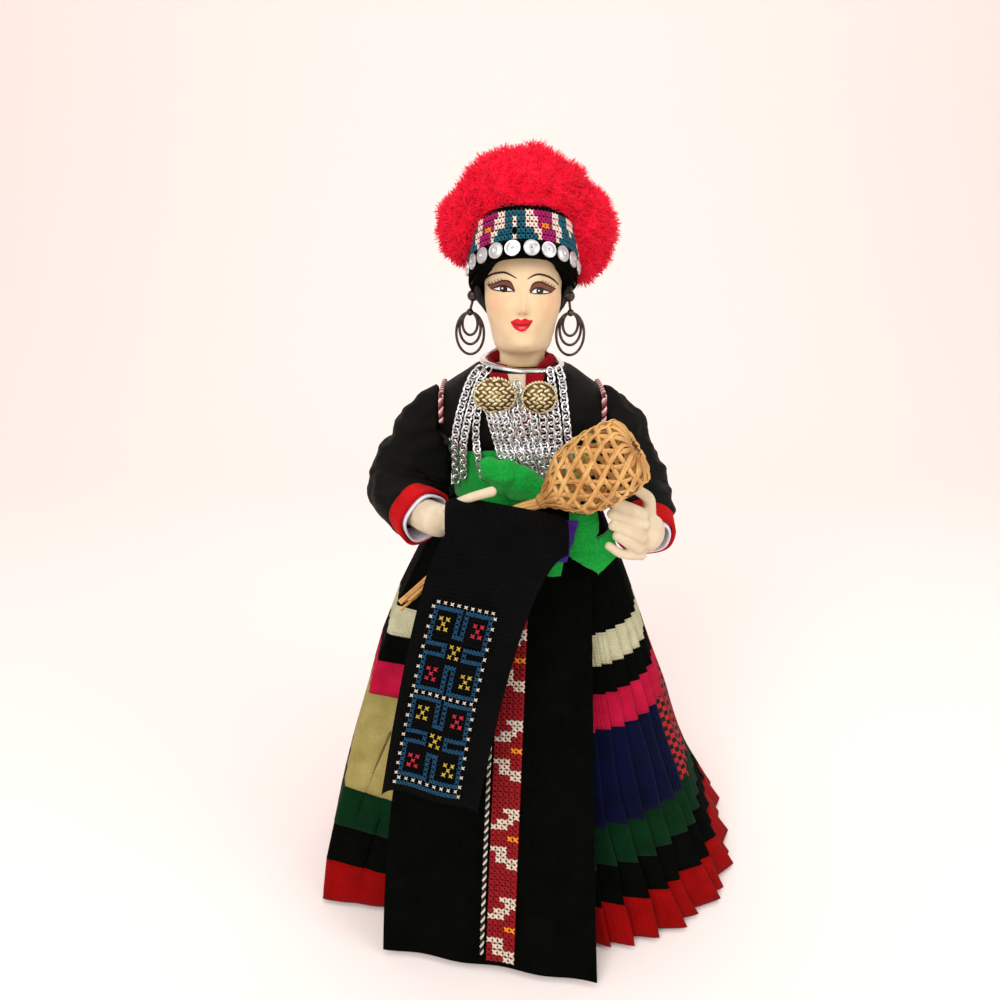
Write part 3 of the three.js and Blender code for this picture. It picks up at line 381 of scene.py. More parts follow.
# %% Colours of cloth, yarn and thread
black_cotton = cloth("black cotton", (6, 7, 5), (3, 4, 2), sheen=0.0, gloss=0.03)
jacket_cotton = cloth("jacket cotton", (15, 13, 9), (6, 6, 4), roughness=0.6, sheen=0.0, gloss=0.08)
ribbed_black = cloth("ribbed black cloth", (6, 6, 6), (2, 2, 2), 1.1, 0.8, 0.75, sheen=0.0)
red_cotton = cloth("red cotton", (198, 18, 22), (166, 8, 12))
deep_red_cotton = cloth("deep red cotton", (144, 4, 4), (124, 2, 2))
dark_red_cotton = cloth("dark red cotton", (158, 18, 28), (112, 10, 18))
pink_cotton = cloth("pink cotton", (190, 21, 62), (166, 12, 46), depth=0.2)
navy_cotton = cloth("navy cotton", (4, 9, 44), (2, 6, 31))
deep_green_cotton = cloth("deep green cotton", (2, 43, 17), (1, 33, 11))
cream_cotton = cloth("open cream cotton", (204, 200, 168), (178, 174, 136), pitch=0.8, depth=0.3)
yellow_cotton = cloth("straw yellow cotton", (172, 157, 96), (151, 135, 75), depth=0.2)
purple_cotton = cloth("purple cotton", (74, 44, 138), (52, 28, 104))
white_cotton = cloth("white lining cotton", (240, 236, 246), (216, 208, 230))
plain_cotton = cloth("unbleached cotton", (216, 208, 188), (196, 186, 164), where="Object")
green_felt = felt("green felt", (22, 158, 58), (12, 138, 46), 1600, 0.2)
yarn_red = felt("scarlet yarn", (255, 25, 67), (242, 8, 47), 300, 0.1)
THREADS = {
    "blue": ((11, 70, 102), (6, 47, 72)),
    "yellow": ((204, 178, 66), (150, 122, 36)),
    "crimson": ((204, 34, 62), (150, 18, 44)),
    "white": ((220, 208, 192), (188, 173, 152)),
    "red": ((150, 12, 22), (118, 7, 14)),
    "orange": ((240, 152, 32), (206, 112, 18)),
    "teal": ((20, 96, 114), (9, 68, 86)),
    "rose": ((246, 222, 206), (220, 184, 172)),
    "magenta": ((176, 20, 104), (132, 12, 78)),
    "dusty": ((184, 110, 122), (146, 74, 88)),
    "maroon": ((112, 30, 48), (84, 18, 34)),
    "black": ((24, 22, 22), (12, 11, 11)),
}
threads = {name: thread(f"{name} thread", *tones) for name, tones in THREADS.items()}

stitched_red, dense_tree, dense_shader = finish_of("dense red and black stitching", (150, 24, 32), 0.85)
squares = add_node(dense_tree, "ShaderNodeTexChecker", Scale=1 / (1.2 * MM), Color1=colour(176, 30, 36),
                   Color2=colour(20, 14, 14))
dense_tree.links.new(mapped(dense_tree, "UV", (1, 0.7, 1)), squares.inputs["Vector"])
dense_tree.links.new(squares.outputs["Color"], dense_shader.inputs["Base Color"])
stitched_rows = mapped(dense_tree, "UV")
stitched_bump = sum_of(dense_tree, bands_of(dense_tree, stitched_rows, "X", 0.9),
                       bands_of(dense_tree, stitched_rows, "Y", 0.9))
bump_of(dense_tree, dense_shader, stitched_bump, 0.7, 0.3)
print("cloth finishes", len(bpy.data.materials))

# %% Metal, skin, hair, straw and wood
def metal(name, light, dark, roughness, scale=700, metallic=1.0, dents=0.15):
    material, tree, shader = finish_of(name, light, roughness, metallic)
    place = mapped(tree, "Object")
    two_tones(tree, shader, noise_of(tree, place, scale), dark, light)
    worn = add_node(tree, "ShaderNodeMapRange", To_Min=roughness * 0.7, To_Max=roughness * 1.5)
    tree.links.new(noise_of(tree, place, scale / 3), worn.inputs["Value"])
    tree.links.new(worn.outputs["Result"], shader.inputs["Roughness"])
    if dents:
        bump_of(tree, shader, noise_of(tree, place, scale * 2), dents, 0.05)
    return material


silver = metal("polished white metal", (238, 237, 236), (222, 221, 222), 0.22, 300, 1.0, 0.0)
disc_silver = metal("stamped white metal", (226, 224, 224), (208, 206, 207), 0.36, 300, 1.0, 0.0)
gilt = metal("aged gilt", (236, 224, 188), (192, 172, 126), 0.34, 500, 0.75)
# Painted shade: a much darker gilt for each brooch's plate, so the gaps between its pillows read as shaded
gilt_painted_shade = metal("gilt darkened as painted shade", (118, 94, 56), (74, 56, 32), 0.45, 500)
dark_wire = metal("darkened wire", (96, 84, 80), (58, 50, 48), 0.38)


def knit(name, light, dark):
    """Painted stockinette: fine columns of loops under a thin coat of paint."""
    material, tree, shader = finish_of(name, light, 0.62, sheen=0.1)
    place = mapped(tree, "Object")
    tint = two_tones(tree, shader, noise_of(tree, place, 170, 4.0), dark, light)
    loops = sum_of(tree, bands_of(tree, place, "X", 0.42), bands_of(tree, place, "Z", 0.34))
    bump_of(tree, shader, loops, 0.35, 0.05)
    return material, tree, shader, tint


stockinette = knit("painted stockinette", (222, 205, 177), (205, 186, 152))[0]

hair_black, hair_tree, hair_shader = finish_of("combed black thread", (20, 17, 17), 0.42)
combed = noise_of(hair_tree, mapped(hair_tree, "Object", (1, 1, 0.06)), 1500)
bump_of(hair_tree, hair_shader, combed, 0.8, 0.3)
two_tones(hair_tree, hair_shader, combed, (10, 9, 9), (34, 28, 26))

straw, straw_tree, straw_shader = finish_of("split bamboo", (226, 170, 98), 0.5)
grain = noise_of(straw_tree, mapped(straw_tree, "UV", (9, 0.5, 1)), 300)
tone = noise_of(straw_tree, mapped(straw_tree, "Object"), 120)
streaks = sum_of(straw_tree, sum_of(straw_tree, grain, tone), 0.5, "MULTIPLY")
two_tones(straw_tree, straw_shader, streaks, (164, 98, 36), (236, 190, 118), 0.36, 0.62)
bump_of(straw_tree, straw_shader, grain, 0.5, 0.1)

wood, wood_tree, wood_shader = finish_of("plain sanded wood", (176, 130, 82), 0.6)
rings = noise_of(wood_tree, mapped(wood_tree, "Object", (1, 0.12, 1)), 260, 5.0)
two_tones(wood_tree, wood_shader, rings, (140, 96, 54), (196, 152, 102))
bump_of(wood_tree, wood_shader, rings, 0.3, 0.1)
print("finishes", len(bpy.data.materials))

# %% [markdown]
# ## The stage
# The doll stands on a pale sheet of paper that sweeps up behind it, so there is no horizon line. The
# camera has the height, tilt and lens that the picture was taken with. Soft lamps from the front and above
# keep the colours near to what is written in the finishes.

# %% Camera
view = bpy.data.cameras.new("camera")
view.lens = 30.6
view.sensor_width = 36
view.clip_start = 0.01
camera = bpy.data.objects.new("camera", view)
camera.location = (-0.007, -0.269, 0.2337)
camera.rotation_euler = (radians(69.6), 0, 0)
scene.collection.objects.link(camera)
scene.camera = camera
scene.view_settings.view_transform = "Standard"
print("camera", tuple(camera.location))

# %% Paper sweep, world and lamps
def sweep_point(u, v):
    x = mix(-1400, 1400, u)
    run = v * 2600
    flat, bend = 1500, 400
    if run < flat:
        return x, -1100 + run, 0
    turn = min((run - flat) / bend, pi / 2)
    rise = max(run - flat - bend * pi / 2, 0)
    return x, -1100 + flat + bend * sin(turn), bend * (1 - cos(turn)) + rise


paper = finish_of("pale paper", (250, 238, 233), 0.9)[0]
paper_sweep = smooth_object(bent_grid(2, 60, sweep_point), "paper_sweep", paper)

world = bpy.data.worlds.new("soft room")
world.use_nodes = True
scene.world = world
world.node_tree.nodes["Background"].inputs["Color"].default_value = (1.0, 0.965, 0.945, 1)
world.node_tree.nodes["Background"].inputs["Strength"].default_value = 0.62


def lamp(name, place, target, size, power):
    light = bpy.data.lights.new(name, "AREA")
    light.energy = power
    light.size = size
    lamp_object = bpy.data.objects.new(name, light)
    lamp_object.location = place
    way = Vector(target) - Vector(place)
    lamp_object.rotation_euler = way.to_track_quat("-Z", "Y").to_euler()
    scene.collection.objects.link(lamp_object)


lamp("front lamp", (-0.35, -0.75, 0.75), (0, 0, 0.12), 0.5, 5.5)
lamp("side lamp", (0.7, -0.45, 0.5), (0, 0, 0.12), 0.5, 2.2)
lamp("top lamp", (0.0, 0.1, 1.0), (0, 0, 0.1), 0.8, 3.0)
print("stage and lamps")

# %% [markdown]
# ## The shapes the clothes hang on
# The same few formulas that shape the solids are repeated here, so cloth lies close to where its solid is.
# A turn of zero looks at the viewer, and a turn grows towards the doll's left hand.

# %% Skirt forms
WAIST = 140
SHOULDER = 165.5
JACKET_SIDE = 26.4
BODY_POWER = 2.3
FLAT = [(-180, 1), (-61, 1), (-56, 0.874), (-52, 0.797), (-48, 0.745), (-42, 0.73), (-34, 0.77),
        (-26, 0.85), (-16, 0.95), (-6, 1), (180, 1)]


def drop(z):
    """How far down the skirt a height is, from 0 at the waist to 1 at the floor."""
    return 1 - z / WAIST


def skirt_radius(z, turn):
    t = drop(z)
    hollow = 0.5 * t ** 3 * (1 - t)
    half = mix(23, 74, t) - 74 * hollow
    front = mix(21.5, 61.2, t) - 61.2 * hollow
    back = mix(21.5, 74.8, t) - 74.8 * hollow
    reach = front if cos(turn) > 0 else back
    power = 4.5 if cos(turn) > 0 and sin(turn) < 0 else 2.5
    across = abs(sin(turn) / half) ** power + abs(cos(turn) / reach) ** power
    way = degrees(atan2(sin(turn), cos(turn)))
    pressed = mix(1, along(FLAT, way)[0], min(t / 0.2, 1))
    return across ** (-1 / power) * pressed


def skirt_point(z, turn, off=0.0):
    r = skirt_radius(z, turn) + off
    return Vector((5 * drop(z) + r * sin(turn), -r * cos(turn), z))


def pleat_at(z):
    return mix(0.9, 5, drop(z))


CORNER = [(0, -68.6, -42), (13, -67.2, -35), (25, -64.5, -30.4), (37, -61.4, -25.8), (68, -52.5, -16),
          (80, -49, -13.4), (89, -45.6, -11.4), (99, -42, -9.5), (120, -32, -6), (140, -23, -4)]
PANEL = [(0, -46, -45), (13, -46, -42), (37, -44, -33.5), (68, -40, -20), (89, -35, -15), (140, -17, -15)]


def wide_pleat(z, turn):
    """The radius of the one broad flat pleat at the left, and how far it rules at this turn."""
    lean = 5 * drop(z)
    corner = Vector(along(CORNER, z)) - Vector((lean, 0))
    panel = Vector(along(PANEL, z)) - Vector((lean, 0))
    behind = corner + Vector((-1.5, 40)) * mix(0.25, 1, drop(z))
    ray = Vector((sin(turn), -cos(turn)))
    edge = panel if turn > atan2(corner.x, -corner.y) else behind
    way = edge - corner
    across = ray.x * way.y - ray.y * way.x
    r = (corner.x * way.y - corner.y * way.x) / across if abs(across) > 1e-6 else corner.length
    start, stop = atan2(behind.x, -behind.y), atan2(panel.x, -panel.y)
    rule = min(max((turn - start + 0.25) / 0.25, 0), 1) * min(max((stop + 0.3 - turn) / 0.3, 0), 1)
    return r, rule

# %% Body forms
BODY = [(0, 0, 0, 0), (10, 0, 0, 0), (16, 2.5, 1, 1), (20, 6.5, 2, 1.5), (26, 9, 2.5, 2),
        (30, 8, 2.3, 1.5), (33, 4.5, 0.2, -1), (36, 0, -2, -3), (39.5, -5, -3.9, -4.2)]


def body_at(z):
    half, front, back = along(BODY, z - WAIST)
    return 20.5 + half, 17.5 + front, 16.5 + back


def oval(half, front, back, turn, power=BODY_POWER):
    s, c = sin(turn), cos(turn)
    reach = front if c > 0 else back
    x = half * copysign(abs(s) ** (2 / power), s)
    y = -reach * copysign(abs(c) ** (2 / power), c)
    return x, y


def oval_reach(reach, share):
    """How far the body's oval reaches one way, at a share of its size the other way."""
    return reach * (1 - share ** BODY_POWER) ** (1 / BODY_POWER)


def body_front(x, z, off=0.0):
    half, front, _ = body_at(z)
    return -oval_reach(front + off, min(abs(x) / (half + off), 0.98))


def sash_front(x, z, off=0.0):
    return body_front(x, z, 2.5 + off)

# %% [markdown]
# ## Braids, chains and the apron's cord
# The braids and the cord are two or three yarns twisted together, so each yarn is a thin tube that winds
# round the route. A curb chain is one oval link repeated, each turned a little the other way from the
# last. These cords have a real length and route, so they are made first.

# %% Twisted cords
def twisted(path, reach, radius, pitch, colours):
    """Yarns that wind round a path, one material index for each colour."""
    total = length_of(path)
    parts = []
    for k, index in enumerate(colours):
        wound = []
        for i, p in enumerate(path):
            way = (path[min(i + 1, len(path) - 1)] - path[max(i - 1, 0)]).normalized()
            side = way.cross(Vector((0.3, 0.5, 0.81))).normalized()
            other = way.cross(side)
            turn = FULL_TURN * (k / len(colours) + total * i / (len(path) - 1) / pitch)
            wound.append(p + (side * cos(turn) + other * sin(turn)) * reach)
        strand = tube(wound, radius, 6)
        for face in strand.faces:
            face.material_index = index
        parts.append(strand)
    return join(parts)


BRAID_X = 25.3
for side, sign in (("left", -1), ("right", 1)):
    stops = []
    for s in (-1, -0.7, -0.4, -0.15, 0.15, 0.4, 0.7, 1):
        z = 171.5 - 7.5 * s * s
        half, front, back = body_at(z)
        reach = oval_reach(front if s < 0 else back, min(BRAID_X / half, 0.99)) + 1.2
        stops.append((sign * BRAID_X, copysign(reach, s), z + 1.2 * (1 - s * s)))
    path = spline(stops, 90)
    braid = make_piece(
        twisted(path, 0.42, 0.44, 3.0, (0, 1, 2)), f"shoulder_braid_{side}_yarns", "figure",
        threads["rose"], [f"shoulder_braid_{side}"])
    braid.data.materials.append(threads["dusty"])
    braid.data.materials.append(threads["maroon"])


def apron_point(u, t, lift=0.0):
    z = mix(137, 2.2, t)
    x = mix(mix(-19, -44.6, 1 - (1 - t) ** 2), mix(21, 23, t), u)
    y = -(skirt_radius(z, 0) + pleat_at(z) / 2)
    y -= 0.3 + t * mix(-1.6, 11.4, u) + 1.4 * sin(pi * t)
    return Vector((x, y - 0.5 * t * cos(17 * u) - lift, z))


def strip_edge(t, side):
    x = mix(-1.8, -7.1, t) + side * 4.4
    left, right = apron_point(0, t).x, apron_point(1, t).x
    return (x - left) / (right - left)


cord_stops = [apron_point(strip_edge(t, -1) - 0.022, t, 2.3) for t in (0.36, 0.5, 0.64, 0.78, 0.97)]
cord_path = spline(cord_stops, 240)
apron_cord = make_piece(
    twisted(cord_path, 0.36, 0.38, 2.6, (0, 1)), "apron_cord_yarns", "figure",
    threads["white"], ["apron_cord"])
apron_cord.data.materials.append(threads["black"])

# %% Chains
link_path = []
for k in range(13):
    turn = FULL_TURN * k / 12
    link_path.append(Vector((1.1 * sin(turn), 0, 1.55 * cos(turn))))
link = Stamp(tube(link_path, 0.36, 6, closed=True), 1 / MM)
CHAIN_PITCH = 2.05


def chain(name, stops, nodes=()):
    rough = spline(stops, 60)
    count = max(round(length_of(rough) / CHAIN_PITCH), 2)
    path = spline(stops, count + 1)
    bm = bmesh.new()
    for i, p in enumerate(path):
        way = (path[min(i + 1, count)] - path[max(i - 1, 0)]).normalized()
        side = way.cross(Vector((0, -1, 0.25))).normalized()
        across = Matrix.Rotation(radians(27 if i % 2 else -27), 3, way) @ side
        turned = Matrix((across, way.cross(across).normalized(), way)).transposed().to_4x4()
        link.set_down(bm, Matrix.Scale(MM, 4) @ Matrix.Translation(p) @ turned)
    make_piece(bm, name, "figure", silver, nodes)


def chest(x, z):
    y = sash_front(x, z, 1.05) if z < 159 else body_front(x, z, 1.05)
    return Vector((x, y, z))


FAN = [(-13, -12.4), (-10.8, -4.4), (-8.2, -0.8), (-5.6, 1.8), (-2.8, 4.2), (2.4, 6.6), (-1.8, 5.6),
       (5.4, 7.8), (-7, 3), (-4.2, 5), (8, 9.4), (-9.6, -2.6), (1.2, 6.2)]
for k, (top, low) in enumerate(FAN):
    front = Vector((0, -0.8 * (k % 3), 0))
    bow = 1.6 if k == 0 else 0
    high = 177 if k == 6 else 173
    stops = []
    for t in [i / 12 for i in range(13)]:
        x = mix(top, low, t ** 1.25) - bow * sin(pi * t)
        stops.append(chest(x, mix(high, 149.5, t)) + front)
    chain(f"chain_front_{k + 1}_links", stops, [f"chain_front_{k + 1}"] if k < 6 else ())
SIDES = {
    "left_1": [(-13.4, 180.4, 0.4), (-15.2, 178.4, 0.5), (-17, 175, 0.5), (-19.4, 167.6, 0.9),
               (-20.9, 159.5, 2.2), (-21.2, 151, 3), (-21, 145.5, 3)],
    "left_2": [(-10.8, 180.4, 0.4), (-12.6, 178.4, 0.5), (-14.2, 175, 0.5), (-16.6, 167.6, 0.9),
               (-18.1, 159.5, 2.2), (-18.6, 151, 3), (-18.6, 148, 3)],
    "right_1": [(11, 180.4, 0.4), (11.8, 178, 0.5), (12.4, 172, 0.5), (13.2, 165, 0.9), (14, 159, 2.4),
                (14.2, 151, 3.4)],
    "right_2": [(8.2, 180.2, 0.4), (8.7, 177, 0.5), (9.5, 171, 0.7), (10.4, 165, 1.2), (10.8, 159, 2.6),
                (11, 152, 3.4)],
}
for name, stops in SIDES.items():
    side = name.split("_")[0]
    places = [(x, body_front(x, min(z, 179.4), 1.05 + out), z) for x, z, out in stops]
    chain(f"chain_{name}_links", places, [f"chain_side_{side}"] if name.endswith("1") else ())

# %% [markdown]
# ## The pleated skirt
# The skirt is a stack of cloth bands sewn edge to edge and then pleated together, so all bands share the
# same folds. One knife pleat is a long face, a fold and a short return that tucks under the next. The grid
# has seven columns to a pleat, and each column is moved to its place in that profile. Each pleat drifts a
# little by itself, and one broad pleat at the front left is pressed flat.

# %% Skirt bands
PLEATS = 52
PLEAT = [(0.0, -0.5), (0.32, -0.22), (0.66, 0.08), (0.98, 0.4), (1.1, 0.5), (1.14, 0.28), (1.04, -0.34)]
pleat_dice = random.Random(11)
pleat_depth = [pleat_dice.uniform(0.6, 1.3) for _ in range(PLEATS)]
PRESSED = 0.09
BROAD = range(33, 51)
for k in BROAD:
    pleat_depth[k] *= PRESSED
GATHER_LOW, GATHER_TALL = 131, 7.6


def pleat_point(column, z):
    k, j = divmod(column, len(PLEAT))
    around, out = PLEAT[j]
    k = k % PLEATS
    if pleat_depth[k] < 0.2:
        around = j / len(PLEAT)
    low = drop(z)
    drift = 0.42 * noise.noise(Vector((k * 5.3, z / 55, 1.7)))
    drift += 0.2 * noise.noise(Vector((k * 2.1, z / 16, 8)))
    turn = FULL_TURN * (k + around + drift * mix(0.4, 1, low)) / PLEATS
    sway = 0.5 * noise.noise(Vector((k * 3.7, z / 24, 4.2))) * low
    off = (out * pleat_depth[k] + sway * min(pleat_depth[k], 1)) * pleat_at(z)
    off -= 2.6 * max(0, (z - GATHER_LOW) / GATHER_TALL) ** 2
    turn = remainder(turn, FULL_TURN)
    if -2.6 < turn < -0.3:
        r, rule = wide_pleat(z, turn)
        off += rule * (r - skirt_radius(z, turn))
    return skirt_point(z, turn, off)


def skirt_band(name, node, low, high, first, last, material, slot):
    start, stop = first * len(PLEAT), last * len(PLEAT)
    rows = max(round((high - low) / 2.2), 3)

    def point(u, v):
        return pleat_point(start + round(u * (stop - start)), mix(low, high, v))

    width = 7.2 * (last - first)
    bm = bent_grid(stop - start, rows, point, (width, high - low), wrap=True)
    band = make_piece(bm, f"{name}_pleats", "figure", material, [f"skirt_{node}"], thick=0.5)


BANDS = [
    ("hem", "red_hem", 1.5, 13.27, 0, PLEATS, deep_red_cotton, "red_cloth"),
    ("lower_black", "black_lower", 13.27, 24.77, 0, PLEATS, black_cotton, "black_cloth"),
    ("green", "green_band", 24.77, 36.96, 0, PLEATS, deep_green_cotton, "dark_green_cloth"),
    ("navy", "navy_panel", 36.96, 68.26, 0, 9, navy_cotton, "navy_cloth"),
    ("stitched", "embroidered_panel", 36.96, 68.26, 9, 15, stitched_red, "red_stitching"),
    ("yellow", "yellow_panel", 36.96, 68.26, 15, PLEATS, yellow_cotton, "yellow_cloth"),
    ("pink", "pink_band", 68.26, 79.75, 0, PLEATS, pink_cotton, "pink_cloth"),
    ("upper_black", "black_upper", 79.75, 88.76, 0, PLEATS, black_cotton, "black_cloth"),
    ("cream", "cream_band", 88.76, 98.87, 0, PLEATS, cream_cotton, "cream_cloth"),
    ("yoke", "black_yoke", 98.87, 138.6, 0, PLEATS, black_cotton, "black_cloth"),
]
for band in BANDS:
    skirt_band(*band)

# %% Stuffed underskirt, torso and the wooden foot
underskirt_bm = soft_copy("stuffed_underskirt", 1.8, 3)
for vert in underskirt_bm.verts:
    high = max(0, vert.co.z / MM - 105) / 33
    vert.co.x *= 1 - 0.2 * high
    vert.co.y *= 1 - 0.2 * high
    vert.co.z = min(vert.co.z, 135.5 * MM)
underskirt = make_piece(underskirt_bm, "underskirt_stuffing", "figure", plain_cotton,
                        ["stuffed_underskirt"])
torso = make_piece(soft_copy("torso", 1.2, 4), "torso_stuffing", "figure", stockinette, ["torso"])
for node in ("foot_board", "spine_dowel"):
    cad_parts[node].data.materials.clear()
    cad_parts[node].data.materials.append(wood)
print("foot and dowel keep their solids")

# %% [markdown]
# ## Stitching
# A cross stitch is two short threads laid over each other. Each thread is a ball pulled long and thin, and
# the second lies a little higher. One stitch is made, and it is set down on the cloth wherever the pattern
# asks.

# %% The stitch
def laid(turn, rise):
    place = Matrix.Translation((0, 0, rise)) @ Matrix.Rotation(radians(turn), 4, "Z")
    return place @ Matrix.Diagonal((0.7, 0.22, 0.22, 1))


stitch_mesh = bmesh.new()
bmesh.ops.create_uvsphere(stitch_mesh, u_segments=5, v_segments=6, radius=1, matrix=laid(45, 0.12))
bmesh.ops.create_uvsphere(stitch_mesh, u_segments=5, v_segments=6, radius=1, matrix=laid(-45, 0.26))
cross_stitch = Stamp(stitch_mesh)
stitch_dice = random.Random(5)


def lay_stitches(name, body, place, cells, size, centre):
    """Sets crosses at (colour, u, v) on place(u, v), one piece for each thread colour."""
    pieces = {}
    for tint, u, v in cells:
        p = place(u, v)
        across = place(u + 0.004, v) - place(u - 0.004, v)
        down = place(u, v + 0.004) - place(u, v - 0.004)
        out = across.cross(down)
        if out.dot(p - centre) < 0:
            out = -out
        sway = [s * stitch_dice.uniform(0.9, 1.06) for s in size]
        if tint not in pieces:
            pieces[tint] = bmesh.new()
        cross_stitch.set_down(pieces[tint], frame_at(p, across, out, sway))
    for tint, bm in pieces.items():
        make_piece(bm, f"{name}_{tint}", body, threads[tint])

# %% [markdown]
# ## Apron
# The apron is one black sheet that hangs from the waist and stands a little off the pleats. A strip of
# cross stitch runs down it, five stitches wide on a red ground, with white figures and orange pairs.

# %% Apron and its strip
apron = make_piece(
    bent_grid(48, 80, lambda u, v: apron_point(u, v, 0.5), (52, 133)), "apron_cloth", "figure",
    black_cotton, ["apron"], thick=0.9)


def strip_point(u, v, lift=1.65):
    t = mix(0.1, 0.985, v)
    return apron_point(strip_edge(t, mix(-1, 1, u)), t, lift)


make_piece(
    bent_grid(10, 80, strip_point, (9.5, 118)), "apron_strip_cloth", "figure",
    deep_red_cotton, ["apron_strip"], thick=0.5)
FIGURES = ["rrwww", "rrrww", "rwwwr", "wwwrr", "rrrrr", "rrroo", "rrrrr", "wwwrr", "rwwrr", "rwwww"]
FIGURES += ["rrrww"] + ["rrrrr"] * 5
LETTERS = {"r": "red", "w": "white", "o": "orange", "T": "teal", "p": "rose", "m": "magenta"}
strip_cells = []
STRIP_ROWS = 70
for row in range(STRIP_ROWS):
    for column, letter in enumerate(FIGURES[(row + 5) % len(FIGURES)]):
        strip_cells.append((LETTERS[letter], (column + 0.5) / 5, (row + 0.5) / STRIP_ROWS))
lay_stitches("strip_stitch", "figure", lambda u, v: strip_point(u, v, 1.9), strip_cells,
             (2.15, 2.1, 1.5), Vector((0, 0, 70)))

# %% [markdown]
# ## The folded cloth
# A black ribbed cloth hangs over the bundle of straws, with a purple lining behind it. The upper end is
# rolled over the fold and the long end hangs free. Two blocks of stitched fret decorate it: a blue square
# with a notch cut in from each side, and five crosses in each quarter and in the middle.

# %% Cloth and lining
FOLD_A = Vector((-22.5, -41, 143.2))
FOLD_B = Vector((12.5, -41, 136.2))


def drape_point(u, t, lift=0.0):
    axis = FOLD_A.lerp(FOLD_B, u)
    axis.z -= 2.4 * max(0, 1 - u / 0.14) ** 2 + 1.5 * max(0, (u - 0.88) / 0.12) ** 2
    r = 5.7 + lift
    if t < 0.24:
        turn = mix(0.56 * pi, 0, t / 0.24)
        return axis + Vector((0, -r * cos(turn), r * sin(turn)))
    fall = (t - 0.24) / 0.76
    sway = 0.5 * cos(9.5 * u + 0.6) * sin(fall * pi / 2)
    x = mix(axis.x, mix(-42, -13.4, u), fall ** mix(0.68, 0.56, u))
    return Vector((x, axis.y - (r + fall * (13 + 2 * u) + sway), axis.z - 76 * fall))


outer = make_piece(
    bent_grid(40, 90, lambda u, v: drape_point(u, v * 1.02, 1.25), (37, 92)), "folded_cloth_outer", "cloth",
    ribbed_black, ["folded_cloth"], thick=0.6)
lining = make_piece(
    bent_grid(24, 60, lambda u, v: drape_point(mix(0.006, 0.985, u), v * 1.005, 0.35), (37, 92)),
    "folded_cloth_lining", "cloth", purple_cotton, thick=0.5)

# %% Stitched fret
def panel_point(u, v, lift=1.95):
    return drape_point(mix(mix(0.14, 0.1, v), mix(0.74, 0.8, v), u), mix(0.43, 1.01, v), lift)


def fret_cells():
    """Crosses of one 17 by 17 block, as colour, column and row."""
    cells = set()
    for k in range(17):
        if k != 8:
            for column, row in ((k, 0), (k, 16), (0, k), (16, k)):
                cells.add(("blue", column, row))
    for k in range(1, 6):
        for a in (7, 9):
            for column, row in ((a, k), (a, 16 - k), (k, a), (16 - k, a)):
                cells.add(("blue", column, row))
    for column, row in ((8, 5), (8, 11), (5, 8), (11, 8)):
        cells.add(("blue", column, row))
    for tint, column, row in (("yellow", 3, 3), ("crimson", 13, 3), ("crimson", 3, 13), ("yellow", 13, 13),
                              ("yellow", 8, 8)):
        for dx, dy in ((0, 0), (-1, -1), (1, -1), (-1, 1), (1, 1)):
            cells.add((tint, column + dx, row + dy))
    return sorted(cells)


panel_cells = []
for block in range(2):
    panel_cells += [(tint, column, row + 18 * block) for tint, column, row in fret_cells()]
panel_cells += [("blue", column, 36) for column in range(17)]
for row in range(0, 37, 2):
    panel_cells += [("white", -1, row), ("white", 17, row)]
for column in range(0, 17, 2):
    panel_cells += [("white", column, row) for row in (-1, 17, 35)]
placed = [(tint, (column + 1.5) / 19, (row + 1.5) / 39) for tint, column, row in panel_cells]
for tint, size in (("blue", (1.62, 1.62, 1.2)), ("yellow", (1.4, 1.4, 1)), ("crimson", (1.4, 1.4, 1)),
                   ("white", (1.15, 1.15, 1))):
    chosen = [cell for cell in placed if cell[0] == tint]
    lay_stitches("fret_stitch", "cloth", panel_point, chosen, size, Vector((0, 0, 100)))
make_piece(
    bent_grid(20, 40, lambda u, v: panel_point(u, v, 1.72), (22, 42)), "fret_ground", "cloth",
    ribbed_black, ["cloth_embroidery"], thick=0.3)

# %% [markdown]
# ## Jacket, collar and sash
# The jacket is a tube of black cotton round the stuffed body, drawn in at the neck. Where the arms join it
# is flat. Red facings lie along the open neck over a bib of the body's own stockinette. The sash is soft
# felt, so it is thicker, with long shallow folds that run round the waist.

# %% Jacket and neck
def jacket_point(u, v, off=0.0):
    turn = u * FULL_TURN
    z = mix(140.3, 179.4, min(v / 0.92, 1))
    half, front, back = body_at(z)
    if v > 0.92:
        close = (v - 0.92) / 0.08
        half, front, back = (mix(a, 9.4, close) for a in (half, front, back))
        z = mix(179.4, 180.0, close)
    x, y = oval(half + off, front + off, back + off, turn)
    return max(-JACKET_SIDE, min(JACKET_SIDE, x)), y, z


jacket_bm = bent_grid(120, 60, jacket_point, (130, 45), wrap=True)
wrinkle(jacket_bm, 7, 0.35, 3.0)
jacket = make_piece(jacket_bm, "jacket_cloth", "figure", jacket_cotton, ["jacket_body"])


def bib_point(u, v):
    z = mix(179.6, 166.5, v)
    half = mix(3.4, 0.5, v)
    x = mix(-half, half, u) - 2 * (1 - v)
    return x, body_front(x, z, 0.45), z


make_piece(bent_grid(16, 16, bib_point, (14, 14)), "neck_bib", "figure", stockinette, thick=0.3)


def facing(sign):
    def point(u, v):
        z = mix(179.8, 165.8, v)
        x = sign * (mix(2.8, 0.4, v) + u * mix(6, 1.6, v)) - 2 * (1 - v)
        return x, body_front(x, z, 0.8), z
    return bent_grid(6, 16, point, (3, 15))


make_piece(join([facing(-1), facing(1)]), "neck_facings", "figure", dark_red_cotton,
           thick=0.6)


def collar_point(u, v):
    turn = mix(0.5, FULL_TURN - 0.5, u)
    r = mix(9.6, 10.7, v)
    high = 181.2 + 2.4 * sin(turn / 2 - 0.1) ** 4 + 3.2 * exp(-((turn - 0.95) / 0.32) ** 2)
    return r * sin(turn), -r * cos(turn), mix(179.8, high, v)


